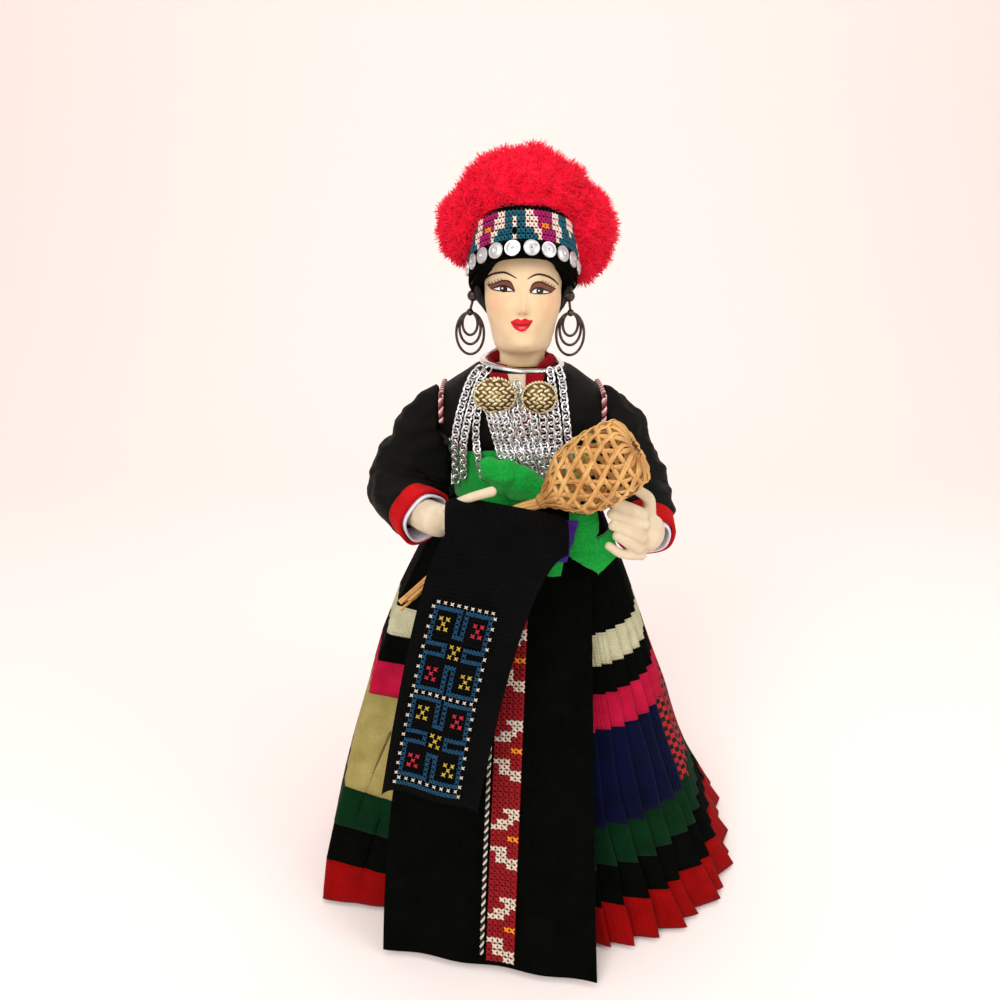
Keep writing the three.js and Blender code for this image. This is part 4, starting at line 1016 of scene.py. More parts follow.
make_piece(bent_grid(60, 5, collar_point, (55, 4)), "collar_cloth", "figure", dark_red_cotton,
           ["collar"], thick=0.9)

# %% Sash, knot, loop and ribbon
def ball(place, radii):
    bm = bmesh.new()
    shape = Matrix.Scale(MM, 4) @ Matrix.Translation(place) @ Matrix.Diagonal(list(radii) + [1])
    bmesh.ops.create_icosphere(bm, subdivisions=3, radius=1, matrix=shape)
    return bm


SASH = [(140.3, 1.5), (146, 2.2), (152, 1.9), (157, 1.4)]


def sash_point(u, v):
    z = mix(138, 157 - 3.4 * sin(FULL_TURN * u) ** 2, v)
    grow = along(SASH, z)[0] - 0.3 + 0.35 * noise.noise(Vector((cos(6.28 * u), sin(6.28 * u), z / 2.6)))
    half, front, back = body_at(z)
    x, y = oval(half + grow, front + grow, back + grow, u * FULL_TURN)
    return max(-JACKET_SIDE, min(JACKET_SIDE, x)), y, z


sash = make_piece(bent_grid(120, 16, sash_point, (130, 17), wrap=True), "sash_felt", "figure", green_felt,
                  ["sash_band"], thick=1.2)
knot_bm = remeshed(join([
    ball((-9.8, -24.4, 152.6), (3.8, 3.4, 4.0)), ball((-5.4, -25.2, 150.8), (5.4, 4.0, 5.4)),
    ball((-0.4, -25.4, 148.6), (5.4, 4.0, 5.6)), ball((3.6, -25, 146.8), (3.8, 3.6, 4.4))]), 0.45, 3)
wrinkle(knot_bm, 4.6, 1.0, 2.0, (1.8, 1, 0.8))
wrinkle(knot_bm, 2.0, 0.3, 7.0, (2.6, 1, 1))
make_piece(knot_bm, "sash_knot_felt", "figure", green_felt, ["sash_knot"])
LOOP = [(13.6, 141.2), (22.2, 142.2), (22.8, 135.2), (21.2, 132.6), (24.6, 134.6), (27.2, 137.6),
        (28.4, 127.6), (23.2, 121.2), (13.2, 128.6), (15.2, 133.4)]
loop_bm = bmesh.new()
corners = [loop_bm.verts.new((x * MM, -0.0336, z * MM)) for x, z in LOOP]
side = loop_bm.faces.new(corners)
raised = bmesh.ops.extrude_face_region(loop_bm, geom=[side])["geom"]
back = [part for part in raised if isinstance(part, bmesh.types.BMVert)]
bmesh.ops.translate(loop_bm, vec=(0, 3.2 * MM, 0), verts=back)
bmesh.ops.triangulate(loop_bm, faces=loop_bm.faces)
bmesh.ops.recalc_face_normals(loop_bm, faces=loop_bm.faces)
loop_bm = remeshed(loop_bm, 0.4, 3)
wrinkle(loop_bm, 5.0, 0.7, 6.0, (1.5, 1, 1))
wrinkle(loop_bm, 2.2, 0.25, 3.0, (2.2, 1, 1))
make_piece(loop_bm, "sash_loop_felt", "figure", green_felt, ["sash_loop"])


def ribbon_point(u, v):
    return mix(11.6, 16.4, u) - 3.2 * v, -34.5 - 0.3 * sin(9 * v), mix(140, 126.6, v)


def tail_point(u, v):
    y = -32.2 - 0.9 * v - 0.3 * sin(5 * u)
    return mix(9.2, 13.2, u) - 1.6 * v, y, mix(129.4, 121.2, v) + u * (1 - v)


make_piece(bent_grid(8, 12, tail_point, (4, 8)), "sash_tail_felt", "figure", green_felt,
           thick=1.1)
make_piece(bent_grid(6, 20, ribbon_point, (4, 14)), "purple_ribbon_cloth", "figure", purple_cotton,
           ["purple_ribbon"], thick=0.5)

# %% [markdown]
# ## Sleeves, cuffs and hands
# A sleeve is a tube of cloth over a bent wire arm. It gathers in folds on the inside of the elbow. The
# cuff is a stiff red band with a pale lining that shows at its mouth. The hands are stuffed stockinette:
# tubes and balls are melted into one skin by a fine remesh, and then smoothed.

# %% Sleeves and cuffs
ARMS = {
    "left": [(-24, 0, 168), (-27, 0, 165.5), (-29.8, -0.6, 160.7), (-35, -3, 150.7), (-39.4, -8.5, 143.5),
             (-39.2, -16, 140.5), (-34.3, -21.5, 139)],
    "right": [(24, 0, 168), (27, 0, 165.5), (29.6, -0.6, 160.7), (33.2, -3, 150.7), (36.4, -8.5, 143.5),
              (38.8, -17, 139), (38, -23, 136)],
}
WIDTHS = [(0, 6.2, 1.1), (0.08, 7.0, 1.08), (0.2, 9.4, 0.87), (0.45, 10.8, 0.81), (0.64, 10.6, 0.83),
          (0.82, 9.2, 0.93), (1, 8.4, 1)]


def round_band(start, way, s_low, s_high, r_low, r_high):
    side = way.cross(Vector((0, 0, 1))).normalized()
    up = side.cross(way)

    def point(u, v):
        turn = u * FULL_TURN
        r = mix(r_low, r_high, v) * (1 + 0.025 * sin(5 * turn + 1))
        return start + way * mix(s_low, s_high, v) + (side * cos(turn) + up * sin(turn)) * r

    return bent_grid(56, 8, point, (56, s_high - s_low), wrap=True)


def side_wall(y, z):
    """How far out the body reaches beside this place, at rest and while the arms lift."""
    reach = []
    for lift in (0, 0.07, 0.14, 0.21):
        high = z - SHOULDER
        at_y = y * cos(lift) + high * sin(lift)
        at_z = max(SHOULDER - y * sin(lift) + high * cos(lift), WAIST)
        half, front, back = body_at(at_z)
        grow = 0.7 + (2 if at_z < 157 else 0)
        share = min(abs(at_y) / ((front if at_y < 0 else back) + grow), 1)
        reach.append(oval_reach(half + grow, share))
    return max(reach)


SLEEVE_MIDDLE = [(135, 38), (143, 38), (150, 35), (160, 30), (170, 27)]
SLEEVE_INWARD = [(139, 1.2), (143, 1.9), (154, 1.8), (161, 1)]
for side, stops in ARMS.items():
    path = spline(stops, 70)
    sleeve_bm = tube(path, lambda v: along(WIDTHS, v)[0], 56, flat=lambda v: along(WIDTHS, v)[1])
    wrinkle(sleeve_bm, 7.0, 1.5, 1.0 if side == "left" else 4.0, (1, 1, 0.6))
    wrinkle(sleeve_bm, 2.6, 0.35, 5.0, (1.6, 1, 0.8))
    for vert in sleeve_bm.verts:
        y, z = vert.co.y / MM, vert.co.z / MM
        wall = min(26.9, max(side_wall(y, z), 23.0)) * MM
        middle = copysign(along(SLEEVE_MIDDLE, z)[0] * MM, vert.co.x)
        if abs(vert.co.x) < abs(middle):
            vert.co.x = middle + (vert.co.x - middle) * along(SLEEVE_INWARD, z)[0]
        vert.co.x = min(vert.co.x, -wall) if side == "left" else max(vert.co.x, wall)
    sleeve = make_piece(sleeve_bm, f"sleeve_{side}_cloth", "arms", jacket_cotton,
                        [f"sleeve_{side}"])
    end = Vector(stops[-1])
    way = (end - Vector(stops[-2])).normalized()
    make_piece(round_band(end, way, 0.3, 6.5, 8.3, 9.0), f"cuff_{side}_cloth", "arms", red_cotton,
               [f"cuff_{side}"], thick=1.1)
    make_piece(round_band(end, way, 0.5, 7.3, 7.0, 7.7), f"cuff_{side}_lining_cloth", "arms", white_cotton,
               [f"cuff_lining_{side}"], thick=0.7)

# %% Hands
def finger(stops, low, high):
    """A stuffed finger: a tube with rounded ends."""
    path = spline(stops, 24)
    shaft = tube(path, lambda v: mix(low, high, v), 12)
    return [shaft, ball(path[0], [low] * 3), ball(path[-1], [high] * 3)]


right_parts = [ball((37.6, -31.6, 135.4), (5.2, 5.0, 6.6))]
right_parts += finger([(38, -23.5, 136), (37.8, -29, 135.6)], 5.0, 5.2)
for stops in ([(34.9, -35, 142.2), (30.2, -37.4, 145.2), (25.6, -39, 147.6)],
              [(35.3, -36, 139.2), (30.4, -38.6, 142.0), (25.4, -40, 144.2)],
              [(34.9, -36.6, 135.5), (30.4, -38.8, 138.4), (26, -40, 140.6)],
              [(34.2, -36.2, 131.9), (30.6, -38.2, 134.8), (27.4, -39.3, 137.1)]):
    right_parts += finger(stops, 2.05, 1.55)
right_parts += finger([(35.5, -34.6, 129.0), (29.4, -37.6, 130.6), (25.2, -38.8, 133.6)], 1.8, 1.3)
right_parts += finger([(37.6, -32, 142.2), (36.8, -33.2, 146.6), (32.6, -34.6, 150.0)], 2.1, 1.5)
left_parts = finger([(-34.3, -21.5, 139), (-29.4, -28.5, 139.2), (-25.2, -36.3, 140.8)], 5.2, 5.0)
left_parts += finger([(-25, -37, 143), (-21.5, -40, 146.6), (-16, -42, 149.8), (-9.4, -42.2, 151.9)],
                     1.1, 1.5)
left_parts += finger([(-24, -38, 141.6), (-16, -40, 141.2), (-8, -40.6, 139.8)], 3.4, 2.4)
for side, parts in (("left", left_parts), ("right", right_parts)):
    hand_bm = remeshed(join(parts), 0.32, 2)
    hand = make_piece(hand_bm, f"hand_{side}_stuffed", "arms", stockinette, [f"hand_{side}"])

# %% [markdown]
# ## Basket
# The basket is the open weave that gives hexagonal holes: flat strips run round it in three directions.
# The slanting ones run down to the neck, where a bundle of straws goes on. Each strip is a narrow grid laid
# on the basket's round form.

# %% Basket strips and straws
NECK = Vector((4.5, -35.6, 146))
WAY = Vector((23, -5.5, 16.5)).normalized()
BASKET_SIDE = WAY.cross(Vector((0, 0, 1))).normalized()
BASKET_UP = BASKET_SIDE.cross(WAY)
BULB_LENGTH = 33
SLANTS = 13
HOOPS = (0.27, 0.38, 0.49, 0.6, 0.71, 0.82, 0.92)
STRAWS = 17
BULB = [(0, 1.4), (0.06, 2.2), (0.13, 3.9), (0.24, 6.8), (0.37, 9.8), (0.5, 10.7), (0.66, 11), (0.84, 10.7),
        (0.93, 9.9), (0.97, 8.9), (0.99, 6.5), (1, 3.5)]


def on_bulb(s, turn, lift=0.0):
    r = along(BULB, s)[0] + lift
    return NECK + WAY * (BULB_LENGTH * s) + (BASKET_SIDE * cos(turn) + BASKET_UP * sin(turn)) * r


def strip(path, outs, width):
    def point(u, v):
        i = min(round(v * (len(path) - 1)), len(path) - 1)
        way = path[min(i + 1, len(path) - 1)] - path[max(i - 1, 0)]
        across = way.cross(outs[i]).normalized()
        return path[i] + across * (width * (u - 0.5))
    return bent_grid(2, len(path) - 1, point, (width, length_of(path)))


def bulb_strip(start, twist, lift, s_low=0.0, s_high=1.0):
    path = []
    outs = []
    for i in range(41):
        s = mix(s_low, s_high, i / 40)
        turn = start + twist * max(s - 0.22, 0)
        path.append(on_bulb(s, turn, lift + 0.22 * sin(i * 1.7)))
        outs.append(on_bulb(s, turn, 5) - on_bulb(s, turn, 0))
    return strip(path, outs, 1.3)


woven = []
for k in range(SLANTS):
    turn = FULL_TURN * k / SLANTS
    woven.append(bulb_strip(turn, 1.9, 0.15))
    woven.append(bulb_strip(turn + 0.24, -1.9, -0.35))
for k, s in enumerate(HOOPS):
    path = []
    outs = []
    for i in range(61):
        turn = FULL_TURN * i / 60
        path.append(on_bulb(s, turn, -0.1 + 0.25 * sin(i * 1.15 + k)))
        outs.append(on_bulb(s, turn, 5) - on_bulb(s, turn, 0))
    woven.append(strip(path, outs, 1.2))
make_piece(join(woven), "basket_weave", "arms", straw, ["basket"], thick=0.32)
straw_dice = random.Random(3)
straws = []
for k in range(STRAWS):
    turn = k * 2.4
    reach = 1.75 * sqrt((k + 0.5) / STRAWS)
    fan = 1 + 0.35 * straw_dice.random()
    stops = [on_bulb(0.12, turn, -0.4), NECK + Vector((0, reach * cos(turn), reach * sin(turn))) * 0.8]
    for centre, spread in (((-8, -32.4, 139), 1.0), ((-36, -37.5, 114.6), fan)):
        across = Vector((0.5 * cos(turn), cos(turn), sin(turn) * 0.9))
        stops.append(Vector(centre) + across * (reach * spread * 0.9))
    stops[-1] += Vector((-1, 0, -0.8)) * straw_dice.uniform(-2.5, 1.5)
    straws.append(tube(spline(stops, 50), 0.5, 5))
make_piece(join(straws), "basket_straws", "arms", straw)

# %% [markdown]
# ## Head and face
# The head is stockinette drawn over a form, so its solid is softened, the jaw and chin are filled out, and
# the nose, lips and eye hollows are raised and sunk with smooth bumps. The face is painted on: each eye,
# brow and lip is a thin patch laid on the head by looking straight at it from the front. The cheeks are a
# tint in the head's own finish.

# %% Head
BUMPS = [
    (-0.4, 199.3, 2.1, 1.7, 1.6), (-0.4, 202.8, 1.6, 3.4, 0.7), (-6.8, 205.6, 3.6, 2.2, -0.7),
    (5.6, 205.2, 3.6, 2.2, -0.7), (-0.6, 195.8, 3.0, 1.1, 0.5), (-0.5, 193.7, 2.4, 1.0, 0.5),
    (-0.5, 188.6, 3.4, 2.0, 0.6), (-8.6, 200.4, 3.6, 3.0, 0.4), (7.6, 200.2, 3.6, 3.0, 0.4),
]
JAW = [(179, 3.0), (184, 3.3), (188, 3.0), (192, 2.4), (196, 1.6), (200, 0.7), (204, 0)]
CHIN = [(180, 0), (184, 1.6), (187, 2.3), (190, 1.8), (194, 0)]
ROUND = [(181, 0), (185, 0.9), (188, 1), (193, 0.6), (199, 0)]
head_bm = soft_copy("head", 0.45, 14)
for vert in head_bm.verts:
    ahead = min(max((-vert.co.y / MM - 1) / 4, 0), 1)
    wide = along(JAW, vert.co.z / MM)[0] * mix(0.3, 1, ahead)
    out = Vector((vert.co.x, vert.co.y, 0))
    if out.length > 1e-4 and vert.co.z < 0.204:
        vert.co += out.normalized() * (wide * MM * min(out.length / 0.004, 1) * (abs(out.x) / out.length))
for vert in head_bm.verts:
    vert.co.z -= along(CHIN, vert.co.z / MM)[0] * MM
chin = [vert for vert in head_bm.verts if vert.co.z < 0.194]
smooth(head_bm, chin, 44)
for vert in head_bm.verts:
    if vert.co.y > -0.004:
        continue
    x, z = vert.co.x / MM, vert.co.z / MM
    vert.co.y += 0.16 * MM * max(0, abs(x + 0.5) - 2.5) ** 1.5 * along(ROUND, z)[0]
    for at_x, at_z, wide, tall, out in BUMPS:
        vert.co.y -= out * MM * exp(-((x - at_x) / wide) ** 2 - ((z - at_z) / tall) ** 2)
head_bm.normal_update()
face_tree = BVHTree.FromBMesh(head_bm)
face_skin, skin_tree, skin_shader, skin_tint = knit("painted face", (240, 210, 170), (227, 196, 152))
last_tint = skin_tint
for x, z in ((-9.2, 200.6), (8.0, 200.4)):
    distance = skin_tree.nodes.new("ShaderNodeVectorMath")
    distance.operation = "DISTANCE"
    distance.inputs[1].default_value = (x * MM, -0.0125, z * MM)
    skin_tree.links.new(mapped(skin_tree, "Object"), distance.inputs[0])
    fade = add_node(skin_tree, "ShaderNodeMapRange", From_Min=0.0008, From_Max=0.0062, To_Min=0.34,
                    To_Max=0.0)
    skin_tree.links.new(distance.outputs["Value"], fade.inputs["Value"])
    blush = skin_tree.nodes.new("ShaderNodeMix")
    blush.data_type = "RGBA"
    blush_b = [i for i in blush.inputs if i.name == "B" and i.type == "RGBA"][0]
    blush_a = [i for i in blush.inputs if i.name == "A" and i.type == "RGBA"][0]
    blush_b.default_value = colour(246, 158, 116)
    skin_tree.links.new(fade.outputs["Result"], blush.inputs["Factor"])
    skin_tree.links.new(last_tint, blush_a)
    last_tint = [o for o in blush.outputs if o.type == "RGBA"][0]
skin_tree.links.new(last_tint, skin_shader.inputs["Base Color"])
make_piece(head_bm, "head_stuffed", "head", face_skin, ["head"])

# %% Paints, patches and strokes
def paint(name, tint, dark):
    material, tree, shader = finish_of(name, tint, 0.42)
    two_tones(tree, shader, noise_of(tree, mapped(tree, "Object"), 900), dark, tint)
    return material


dark_brown = paint("dark brown paint", (58, 32, 26), (38, 20, 16))
lid_brown = paint("eyelid paint", (128, 74, 56), (102, 56, 42))
eye_white = paint("eye white paint", (250, 248, 246), (232, 228, 228))
iris_brown = paint("iris paint", (42, 24, 20), (24, 12, 10))
lip_red = paint("lip paint", (226, 22, 40), (186, 10, 26))
lip_light = paint("lip shine paint", (240, 96, 96), (226, 60, 66))
nose_shade = paint("nose shading", (214, 158, 124), (200, 142, 108))


def on_face(x, z, lift):
    hit, normal, _, _ = face_tree.ray_cast(Vector((x * MM, -0.06, z * MM)), Vector((0, 1, 0)))
    return (hit + normal * (lift * MM)) / MM


def curve_of(points, count=32):
    return spline([(x, 0, z) for x, z in points], count)


def patch(name, top, low, material, lift):
    upper, lower = curve_of(top), curve_of(low)

    def point(u, v):
        i = min(round(u * 31), 31)
        p = upper[i].lerp(lower[i], v)
        return on_face(p.x, p.z, lift)

    make_piece(bent_grid(31, 8, point), name, "head", material)


def stroke(name, points, width, material, lift):
    path = curve_of(points, 36)

    def point(u, v):
        i = min(round(v * 35), 35)
        way = path[min(i + 1, 35)] - path[max(i - 1, 0)]
        across = Vector((-way.z, 0, way.x)).normalized()
        p = path[i] + across * ((u - 0.5) * width * (0.25 + 0.75 * sin(pi * v) ** 0.6))
        return on_face(p.x, p.z, lift)

    make_piece(bent_grid(3, 35, point), name, "head", material)


def spot(name, x, z, wide, tall, material, lift):
    top = [(x - wide * cos(a * pi / 6), z + tall * sin(a * pi / 6)) for a in range(7)]
    low = [(x - wide * cos(a * pi / 6), z - tall * sin(a * pi / 6)) for a in range(7)]
    patch(name, top, low, material, lift)

# %% Eyes, brows and mouth
LID_L = [(-10.8, 205.5), (-8.8, 206.1), (-7.1, 207), (-5.5, 207.4), (-3.9, 207), (-2.6, 204.6)]
WHITE_L = [(-9.6, 204.9), (-7.1, 206.1), (-5.5, 206.4), (-3.7, 205.7), (-2.8, 204.7)]
LOW_L = [(-10.8, 205.5), (-9.4, 204.5), (-7.5, 204.3), (-5.1, 204.3), (-2.6, 204.6)]
LID_R = [(1.5, 204.6), (2.6, 206.6), (4.3, 207.1), (6.2, 206.4), (7.9, 205.4), (9.5, 204.6)]
WHITE_R = [(1.7, 204.4), (2.8, 205.6), (4.3, 205.9), (6.2, 205.1), (8.2, 204.2)]
LOW_R = [(1.5, 204.6), (2.6, 203.9), (4.1, 203.7), (6.9, 203.6), (8.4, 204), (9.5, 204.6)]
for side, lid, white, low, iris in (("left", LID_L, WHITE_L, LOW_L, (-5.9, 205.3)),
                                    ("right", LID_R, WHITE_R, LOW_R, (4.6, 204.8))):
    white = [(x, z - 0.5) for x, z in white]
    patch(f"eye_{side}_white", white, low, eye_white, 0.06)
    spot(f"eye_{side}_iris", iris[0], iris[1] - 0.3, 1.1, 1.05, iris_brown, 0.1)
    spot(f"eye_{side}_shine", iris[0] - 0.35, iris[1] - 0.25, 0.26, 0.24, eye_white, 0.13)
    patch(f"eye_{side}_lid", lid, white, lid_brown, 0.16)
    stroke(f"eye_{side}_crease", lid, 0.42, dark_brown, 0.2)
    stroke(f"eye_{side}_lash_line", white, 0.5, dark_brown, 0.22)
    stroke(f"eye_{side}_low_line", low, 0.34, dark_brown, 0.12)
    sign = -1 if side == "left" else 1
    outer, inner = (lid[0], lid[-1]) if side == "left" else (lid[-1], lid[0])
    for k in range(5):
        x = mix(outer[0], inner[0], 0.12 + 0.11 * k)
        z = along(sorted(lid), x)[0]
        hairs = [(x, z - 0.1), (x + sign * 0.2, z + 0.3), (x + sign * 0.6, z + 0.7)]
        stroke(f"eye_{side}_lash_{k + 1}", hairs, 0.2, dark_brown, 0.21)
BROW_L = [(-11.8, 206.5), (-9.6, 208.6), (-6.7, 209.6), (-4.7, 209.4), (-2.1, 208.1)]
BROW_R = [(0.9, 207.9), (2.6, 208.9), (4.4, 209.2), (7, 208.4), (8.8, 207.2), (10.4, 205.5)]
stroke("brow_left", BROW_L, 0.6, dark_brown, 0.1)
stroke("brow_right", BROW_R, 0.6, dark_brown, 0.1)
LIP_TOP = [(-3.9, 195.7), (-2.8, 196.3), (-1.8, 196.7), (-0.8, 196.3), (0.3, 196.8), (1.5, 196.3),
           (2.7, 196.2)]
LIP_LOW = [(-3.9, 195.7), (-2.8, 193.9), (-1.1, 193), (0.1, 193.1), (1.5, 194.2), (2.7, 196.2)]
patch("lips", LIP_TOP, LIP_LOW, lip_red, 0.12)
spot("lip_light", -0.5, 194.0, 1.2, 0.42, lip_light, 0.18)
LIP_GAP = [(-3.2, 195.4), (-2.2, 195), (-0.7, 194.8), (0.9, 195), (2.2, 195.8)]
stroke("mouth_line", LIP_GAP, 0.32, dark_brown, 0.2)
for k, x in enumerate((-1.35, 0.5)):
    spot(f"nostril_{k + 1}", x, 198.2, 0.42, 0.24, nose_shade, 0.08)

# %% [markdown]
# ## Hair, hat and pompoms
# The hair is black thread combed down over the head. Over it sits a slanting band: a strip with silver
# discs below and a stitched band above. The pompoms are thousands of cut yarn ends. A few bent strands are
# made and set down all over four lumpy cores, each leaning a little its own way.

# %% Hair
hair_bm = soft_copy("hair", 0.5, 9)
for vert in hair_bm.verts:
    vert.co.x *= 1 + 0.09 * max(0, min(1, (vert.co.z - 0.198) / 0.008))
    vert.co.y -= 0.0024 * max(0, min(1, (0.002 - vert.co.y) / 0.005))
    vert.co.x -= copysign(0.0019, vert.co.x) * max(0, min(1, (0.201 - vert.co.z) / 0.005))
wrinkle(hair_bm, 1.6, 0.5, 9.0, (1, 1, 6))
make_piece(hair_bm, "hair_threads", "head", hair_black, ["hair"])

# %% Hat band and discs
def hat_point(turn, z, off=0.0):
    lean = max(0, (z - 1.7) / 10.2) * 0.6
    x, y = oval(16.7 - lean + off, 20.91 - lean + off, 20.91 - lean + off, turn, 2.1)
    return Vector((x, 0.8988 * y + 0.4384 * z - 2, -0.4384 * y + 0.8988 * z + 208.4))


def hat_ring(low, high, off):
    def point(u, v):
        return hat_point(u * FULL_TURN, mix(low, high, v), off)

    return bent_grid(96, 8, point, (120, high - low), wrap=True)


def lining_point(u, v):
    turn = u * FULL_TURN
    side = abs(sin(turn)) ** 3
    return hat_point(turn, -2.4 - 2.6 * side * (1 - v), mix(-1.2, mix(-2.2, -8, side), v))


make_piece(bent_grid(96, 6, lining_point, (100, 7), wrap=True), "hat_lining", "head", black_cotton,
           thick=0.5)
make_piece(hat_ring(-3.4, 1.4, -0.6), "hat_strip_cloth", "head", black_cotton,
           ["hat_disc_strip"], thick=1.0)
make_piece(hat_ring(1.7, 11.9, -0.5), "hat_band_cloth", "head", black_cotton,
           ["hat_band"], thick=1.0)
HAT_TURN = 0.19
DISC_STEP = 0.288
disc_bm = bmesh.new()
DISC = [(0, 0.12), (0.24, 0.12), (0.34, 0.62), (0.6, 0.8), (1.1, 0.72), (1.8, 0.42), (2.05, 0.36),
        (2.25, 0.52), (2.32, 0.4), (2.3, 0)]
rim = [disc_bm.verts.new((r, 0, z)) for r, z in DISC]
edges = [disc_bm.edges.new(pair) for pair in zip(rim, rim[1:])]
bmesh.ops.spin(disc_bm, geom=rim + edges, cent=(0, 0, 0), axis=(0, 0, 1), angle=FULL_TURN, steps=24,
               use_merge=True, use_duplicate=False)
bmesh.ops.remove_doubles(disc_bm, verts=disc_bm.verts, dist=1e-5)
bmesh.ops.recalc_face_normals(disc_bm, faces=disc_bm.faces)
disc = Stamp(disc_bm)
discs = bmesh.new()
for k in range(10):
    turn = (k - 4) * DISC_STEP - HAT_TURN
    p = hat_point(turn, -0.8, 0.25)
    across = hat_point(turn + 0.02, -1) - hat_point(turn - 0.02, -1)
    down = hat_point(turn, -1.3) - hat_point(turn, -0.7)
    disc.set_down(discs, frame_at(p, across, down.cross(across)))
make_piece(discs, "hat_discs", "head", disc_silver)

# %% Hat stitches
HAT_ROWS = ["TTTppmmmmmppTTTpp", "pTTpppmmmmppTTTpp", "pTTpppmoompppTTTp", "-TTTTppmmmmppTTTT",
            "pTTTTTpmmmmpTTTTT"]
HAT_STEPS = 96
hat_cells = []
for row, letters in enumerate(HAT_ROWS):
    for step in range(HAT_STEPS):
        place = abs(step - HAT_STEPS // 2) % 32
        letter = letters[place if place < 17 else 32 - place]
        if letter in LETTERS:
            hat_cells.append((LETTERS[letter], (step + 0.5) / HAT_STEPS, (row + 0.5) / 5))


def hat_place(u, v):
    return hat_point((u - 0.5) * FULL_TURN - HAT_TURN, mix(10.6, 1.6, v), 0.15)


lay_stitches("hat_stitch", "head", hat_place, hat_cells, (1.4, 1.95, 1.1),
             Vector((0, -2, 210)))

# %% Pompoms
POMPOMS = {
    "top": ((-0.4, -0.5, 230), (21, 15.5, 16)), "left": ((-14.5, 3, 221.6), (13.2, 14.5, 14.5)),
    "right": ((17, 3.5, 220.0), (13.2, 14.5, 16.5)), "back": ((1, 16, 217.8), (16, 12, 16)),
}
TOP_ENDS, SIDE_ENDS = 13000, 10500
GOLDEN_TURN = 2.39996
strands = []
for bend in (-0.5, -0.2, 0.2, 0.45):
    path = [Vector((bend * t * t, 0.5 * bend * t, t)) for t in (0, 0.55, 1)]
    strands.append(Stamp(tube(path, lambda v: 0.055 - 0.035 * v, 3), 1 / MM))


def tuft(way, seed):
    """How far the wool stands out here: a few big tufts, and small ones on them."""
    return 1 + 0.16 * noise.noise(way * 2.9 + Vector((seed, 0, 0))) + 0.06 * noise.noise(way * 8)


def pompom(name, centre, radii, count, seed):
    dice = random.Random(seed)
    batches = []
    bm = bmesh.new()
    for k in range(count):
        z = 1 - 2 * (k + 0.5) / count
        turn = k * GOLDEN_TURN + dice.uniform(-0.2, 0.2)
        flat = sqrt(1 - z * z)
        way = Vector((flat * cos(turn), flat * sin(turn), z))
        reach = Vector(a * (r - 1.6) * tuft(way, seed) for a, r in zip(way, radii))
        out = Vector(a / r for a, r in zip(way, radii)).normalized()
        lean = Vector((dice.gauss(0, 0.6), dice.gauss(0, 0.6), dice.gauss(0, 0.6)))
        length = dice.uniform(2.4, 3.8)
        root = Vector(centre) + reach - out * length * dice.uniform(0.7, 1.0)
        across = Vector((dice.uniform(-1, 1), dice.uniform(-1, 1), 0.3))
        dice.choice(strands).set_down(bm, frame_at(root, across, out + lean, length))
        if k % 200 == 199:
            batches.append(bm)
            bm = bmesh.new()
    batches.append(bm)
    core = bmesh.new()
    bmesh.ops.create_icosphere(core, subdivisions=5, radius=1)
    for vert in core.verts:
        way = vert.co.normalized()
        reach = Vector(a * (r - 3.2) * tuft(way, seed) for a, r in zip(way, radii))
        vert.co = (Vector(centre) + reach) * MM
    batches.append(core)
    make_piece(join(batches), f"pompom_{name}_yarn", "head", yarn_red, [f"pompom_{name}"])


for k, (name, (centre, radii)) in enumerate(POMPOMS.items()):
    pompom(name, centre, radii, TOP_ENDS if name == "top" else SIDE_ENDS, 20 + k)

# %% [markdown]
# ## Jewellery
# The neck ring is a stout wire whose ends rise a little at the back. Each brooch is a domed plate with a
# rope rim and rows of small pillows like basket work. The earrings are three thin hoops, each smaller than
# the last.

# %% Neck ring, studs and hoops
ring_path = []
for k in range(121):
    turn = mix(-2.5, 2.5, k / 120)
    end = max(0, abs(turn) - 1.9) / 0.6
    r = 12.4 - 1.2 * end
    x, y = r * sin(turn), -r * cos(turn)
    ring_path.append(Vector((x, y, 180.6 - 0.06 * x + 0.05 * y + 2.2 * end * end)))
make_piece(tube(ring_path, 1.05, 14), "neck_ring_wire", "figure", silver, ["neck_ring"])
EARRINGS = {"left": (-15.3, -2.8, -1), "right": (14.1, -4.4, 0.6)}
EAR_Z, HOOP_Z = 201.6, 196.6


def bead(x, y, z, radius, u_segments, v_segments):
    bm = bmesh.new()
    place = Matrix.Translation((x * MM, y * MM, z * MM)) @ Matrix.Scale(radius * MM, 4)
    bmesh.ops.create_uvsphere(bm, u_segments=u_segments, v_segments=v_segments, radius=1, matrix=place)
    return bm


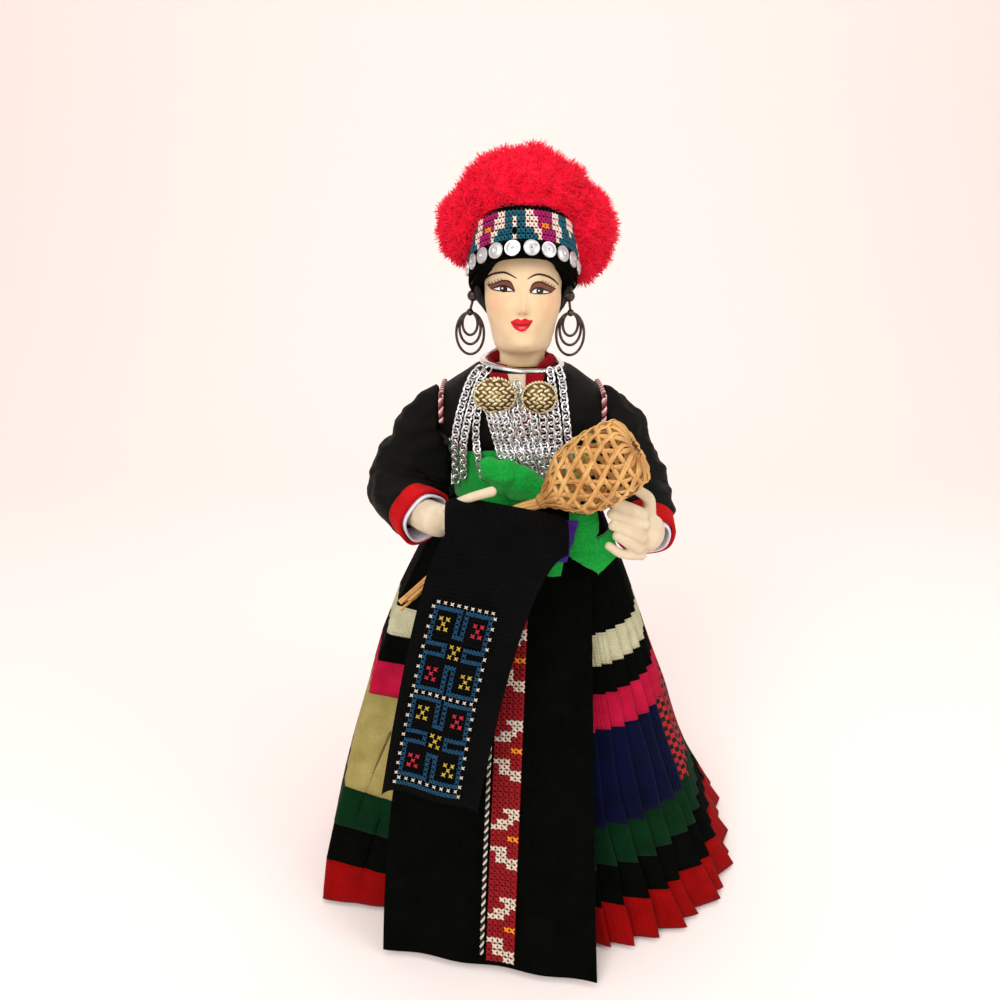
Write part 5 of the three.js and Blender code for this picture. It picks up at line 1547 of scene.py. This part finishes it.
for side, (at, front, shift) in EARRINGS.items():
    make_piece(bead(at, front, EAR_Z, 1.75, 18, 12), f"ear_stud_{side}_ball", "head", dark_wire,
               [f"ear_stud_{side}"])
    wires = []
    for scale in (1, 0.76, 0.54):
        loop = []
        for k in range(49):
            turn = FULL_TURN * k / 48
            x = at + shift + 4.3 * scale * sin(turn)
            loop.append(Vector((x, front, HOOP_Z - 6.5 * scale * (1 - cos(turn)))))
        wires.append(tube(loop, 0.42, 8, closed=True))
    wires.append(bead(at + shift, front, HOOP_Z, 1.1, 14, 10))
    hang = [Vector((at, front, EAR_Z - 1)), Vector((at + shift, front, HOOP_Z))]
    wires.append(tube(hang, 0.4, 8))
    make_piece(join(wires), f"earring_{side}_hoops", f"earring_{side}", dark_wire,
               [f"earring_{side}"])

# %% Brooches
pillow_bm = bmesh.new()
bmesh.ops.create_uvsphere(pillow_bm, u_segments=8, v_segments=6, radius=1)
pillow = Stamp(pillow_bm)
for side, x, z, half_x, half_z in (("left", -8.5, 175, 6.3, 5.3), ("right", 4.6, 174.4, 5.2, 4.8)):
    y = min(body_front(x, z - half_z, 0), body_front(x, z, 0)) - 1.85
    dome = [(0, 0.96), (0.5, 1), (1, 1), (1.7, 0.9), (2.2, 0.8), (2.7, 0.6), (3, 0.42), (3.1, 0.02)]

    def brooch_point(u, v):
        out, scale = along([(i / 7, *row) for i, row in enumerate(dome)], v)
        turn = u * FULL_TURN
        return x + half_x * scale * sin(turn), y - out, z + half_z * scale * cos(turn)

    bm = bent_grid(40, 14, brooch_point, wrap=True)
    # The plate takes the second finish, the darker gilt that paints shade into the gaps between the pillows
    for face in bm.faces:
        face.material_index = 1
    for k in range(34):
        turn = FULL_TURN * k / 34
        p = Vector((x + half_x * 0.96 * sin(turn), y - 1.15, z + half_z * 0.96 * cos(turn)))
        along_rim = Vector((cos(turn + 0.7), 0, -sin(turn + 0.7)))
        pillow.set_down(bm, frame_at(p, along_rim, Vector((0, -1, 0)), (0.7, 0.42, 0.5)))
    for row in range(-4, 5):
        for column in range(-4, 5):
            px, pz = column * 2.0 + (row % 2) * 1.0, row * 1.12
            far = (px / half_x) ** 2 + (pz / half_z) ** 2
            if far < 0.78:
                p = Vector((x + px, y - 3.0 + 2.0 * far, z + pz))
                tilt = Vector((1, 0, -0.5 if row % 2 else 0.5))
                pillow.set_down(bm, frame_at(p, tilt, Vector((px * 0.1, -1, pz * 0.1)), (1.24, 0.58, 0.55)))
    brooch = make_piece(bm, f"brooch_{side}_relief", "figure", gilt, [f"brooch_{side}"])
    brooch.data.materials.append(gilt_painted_shade)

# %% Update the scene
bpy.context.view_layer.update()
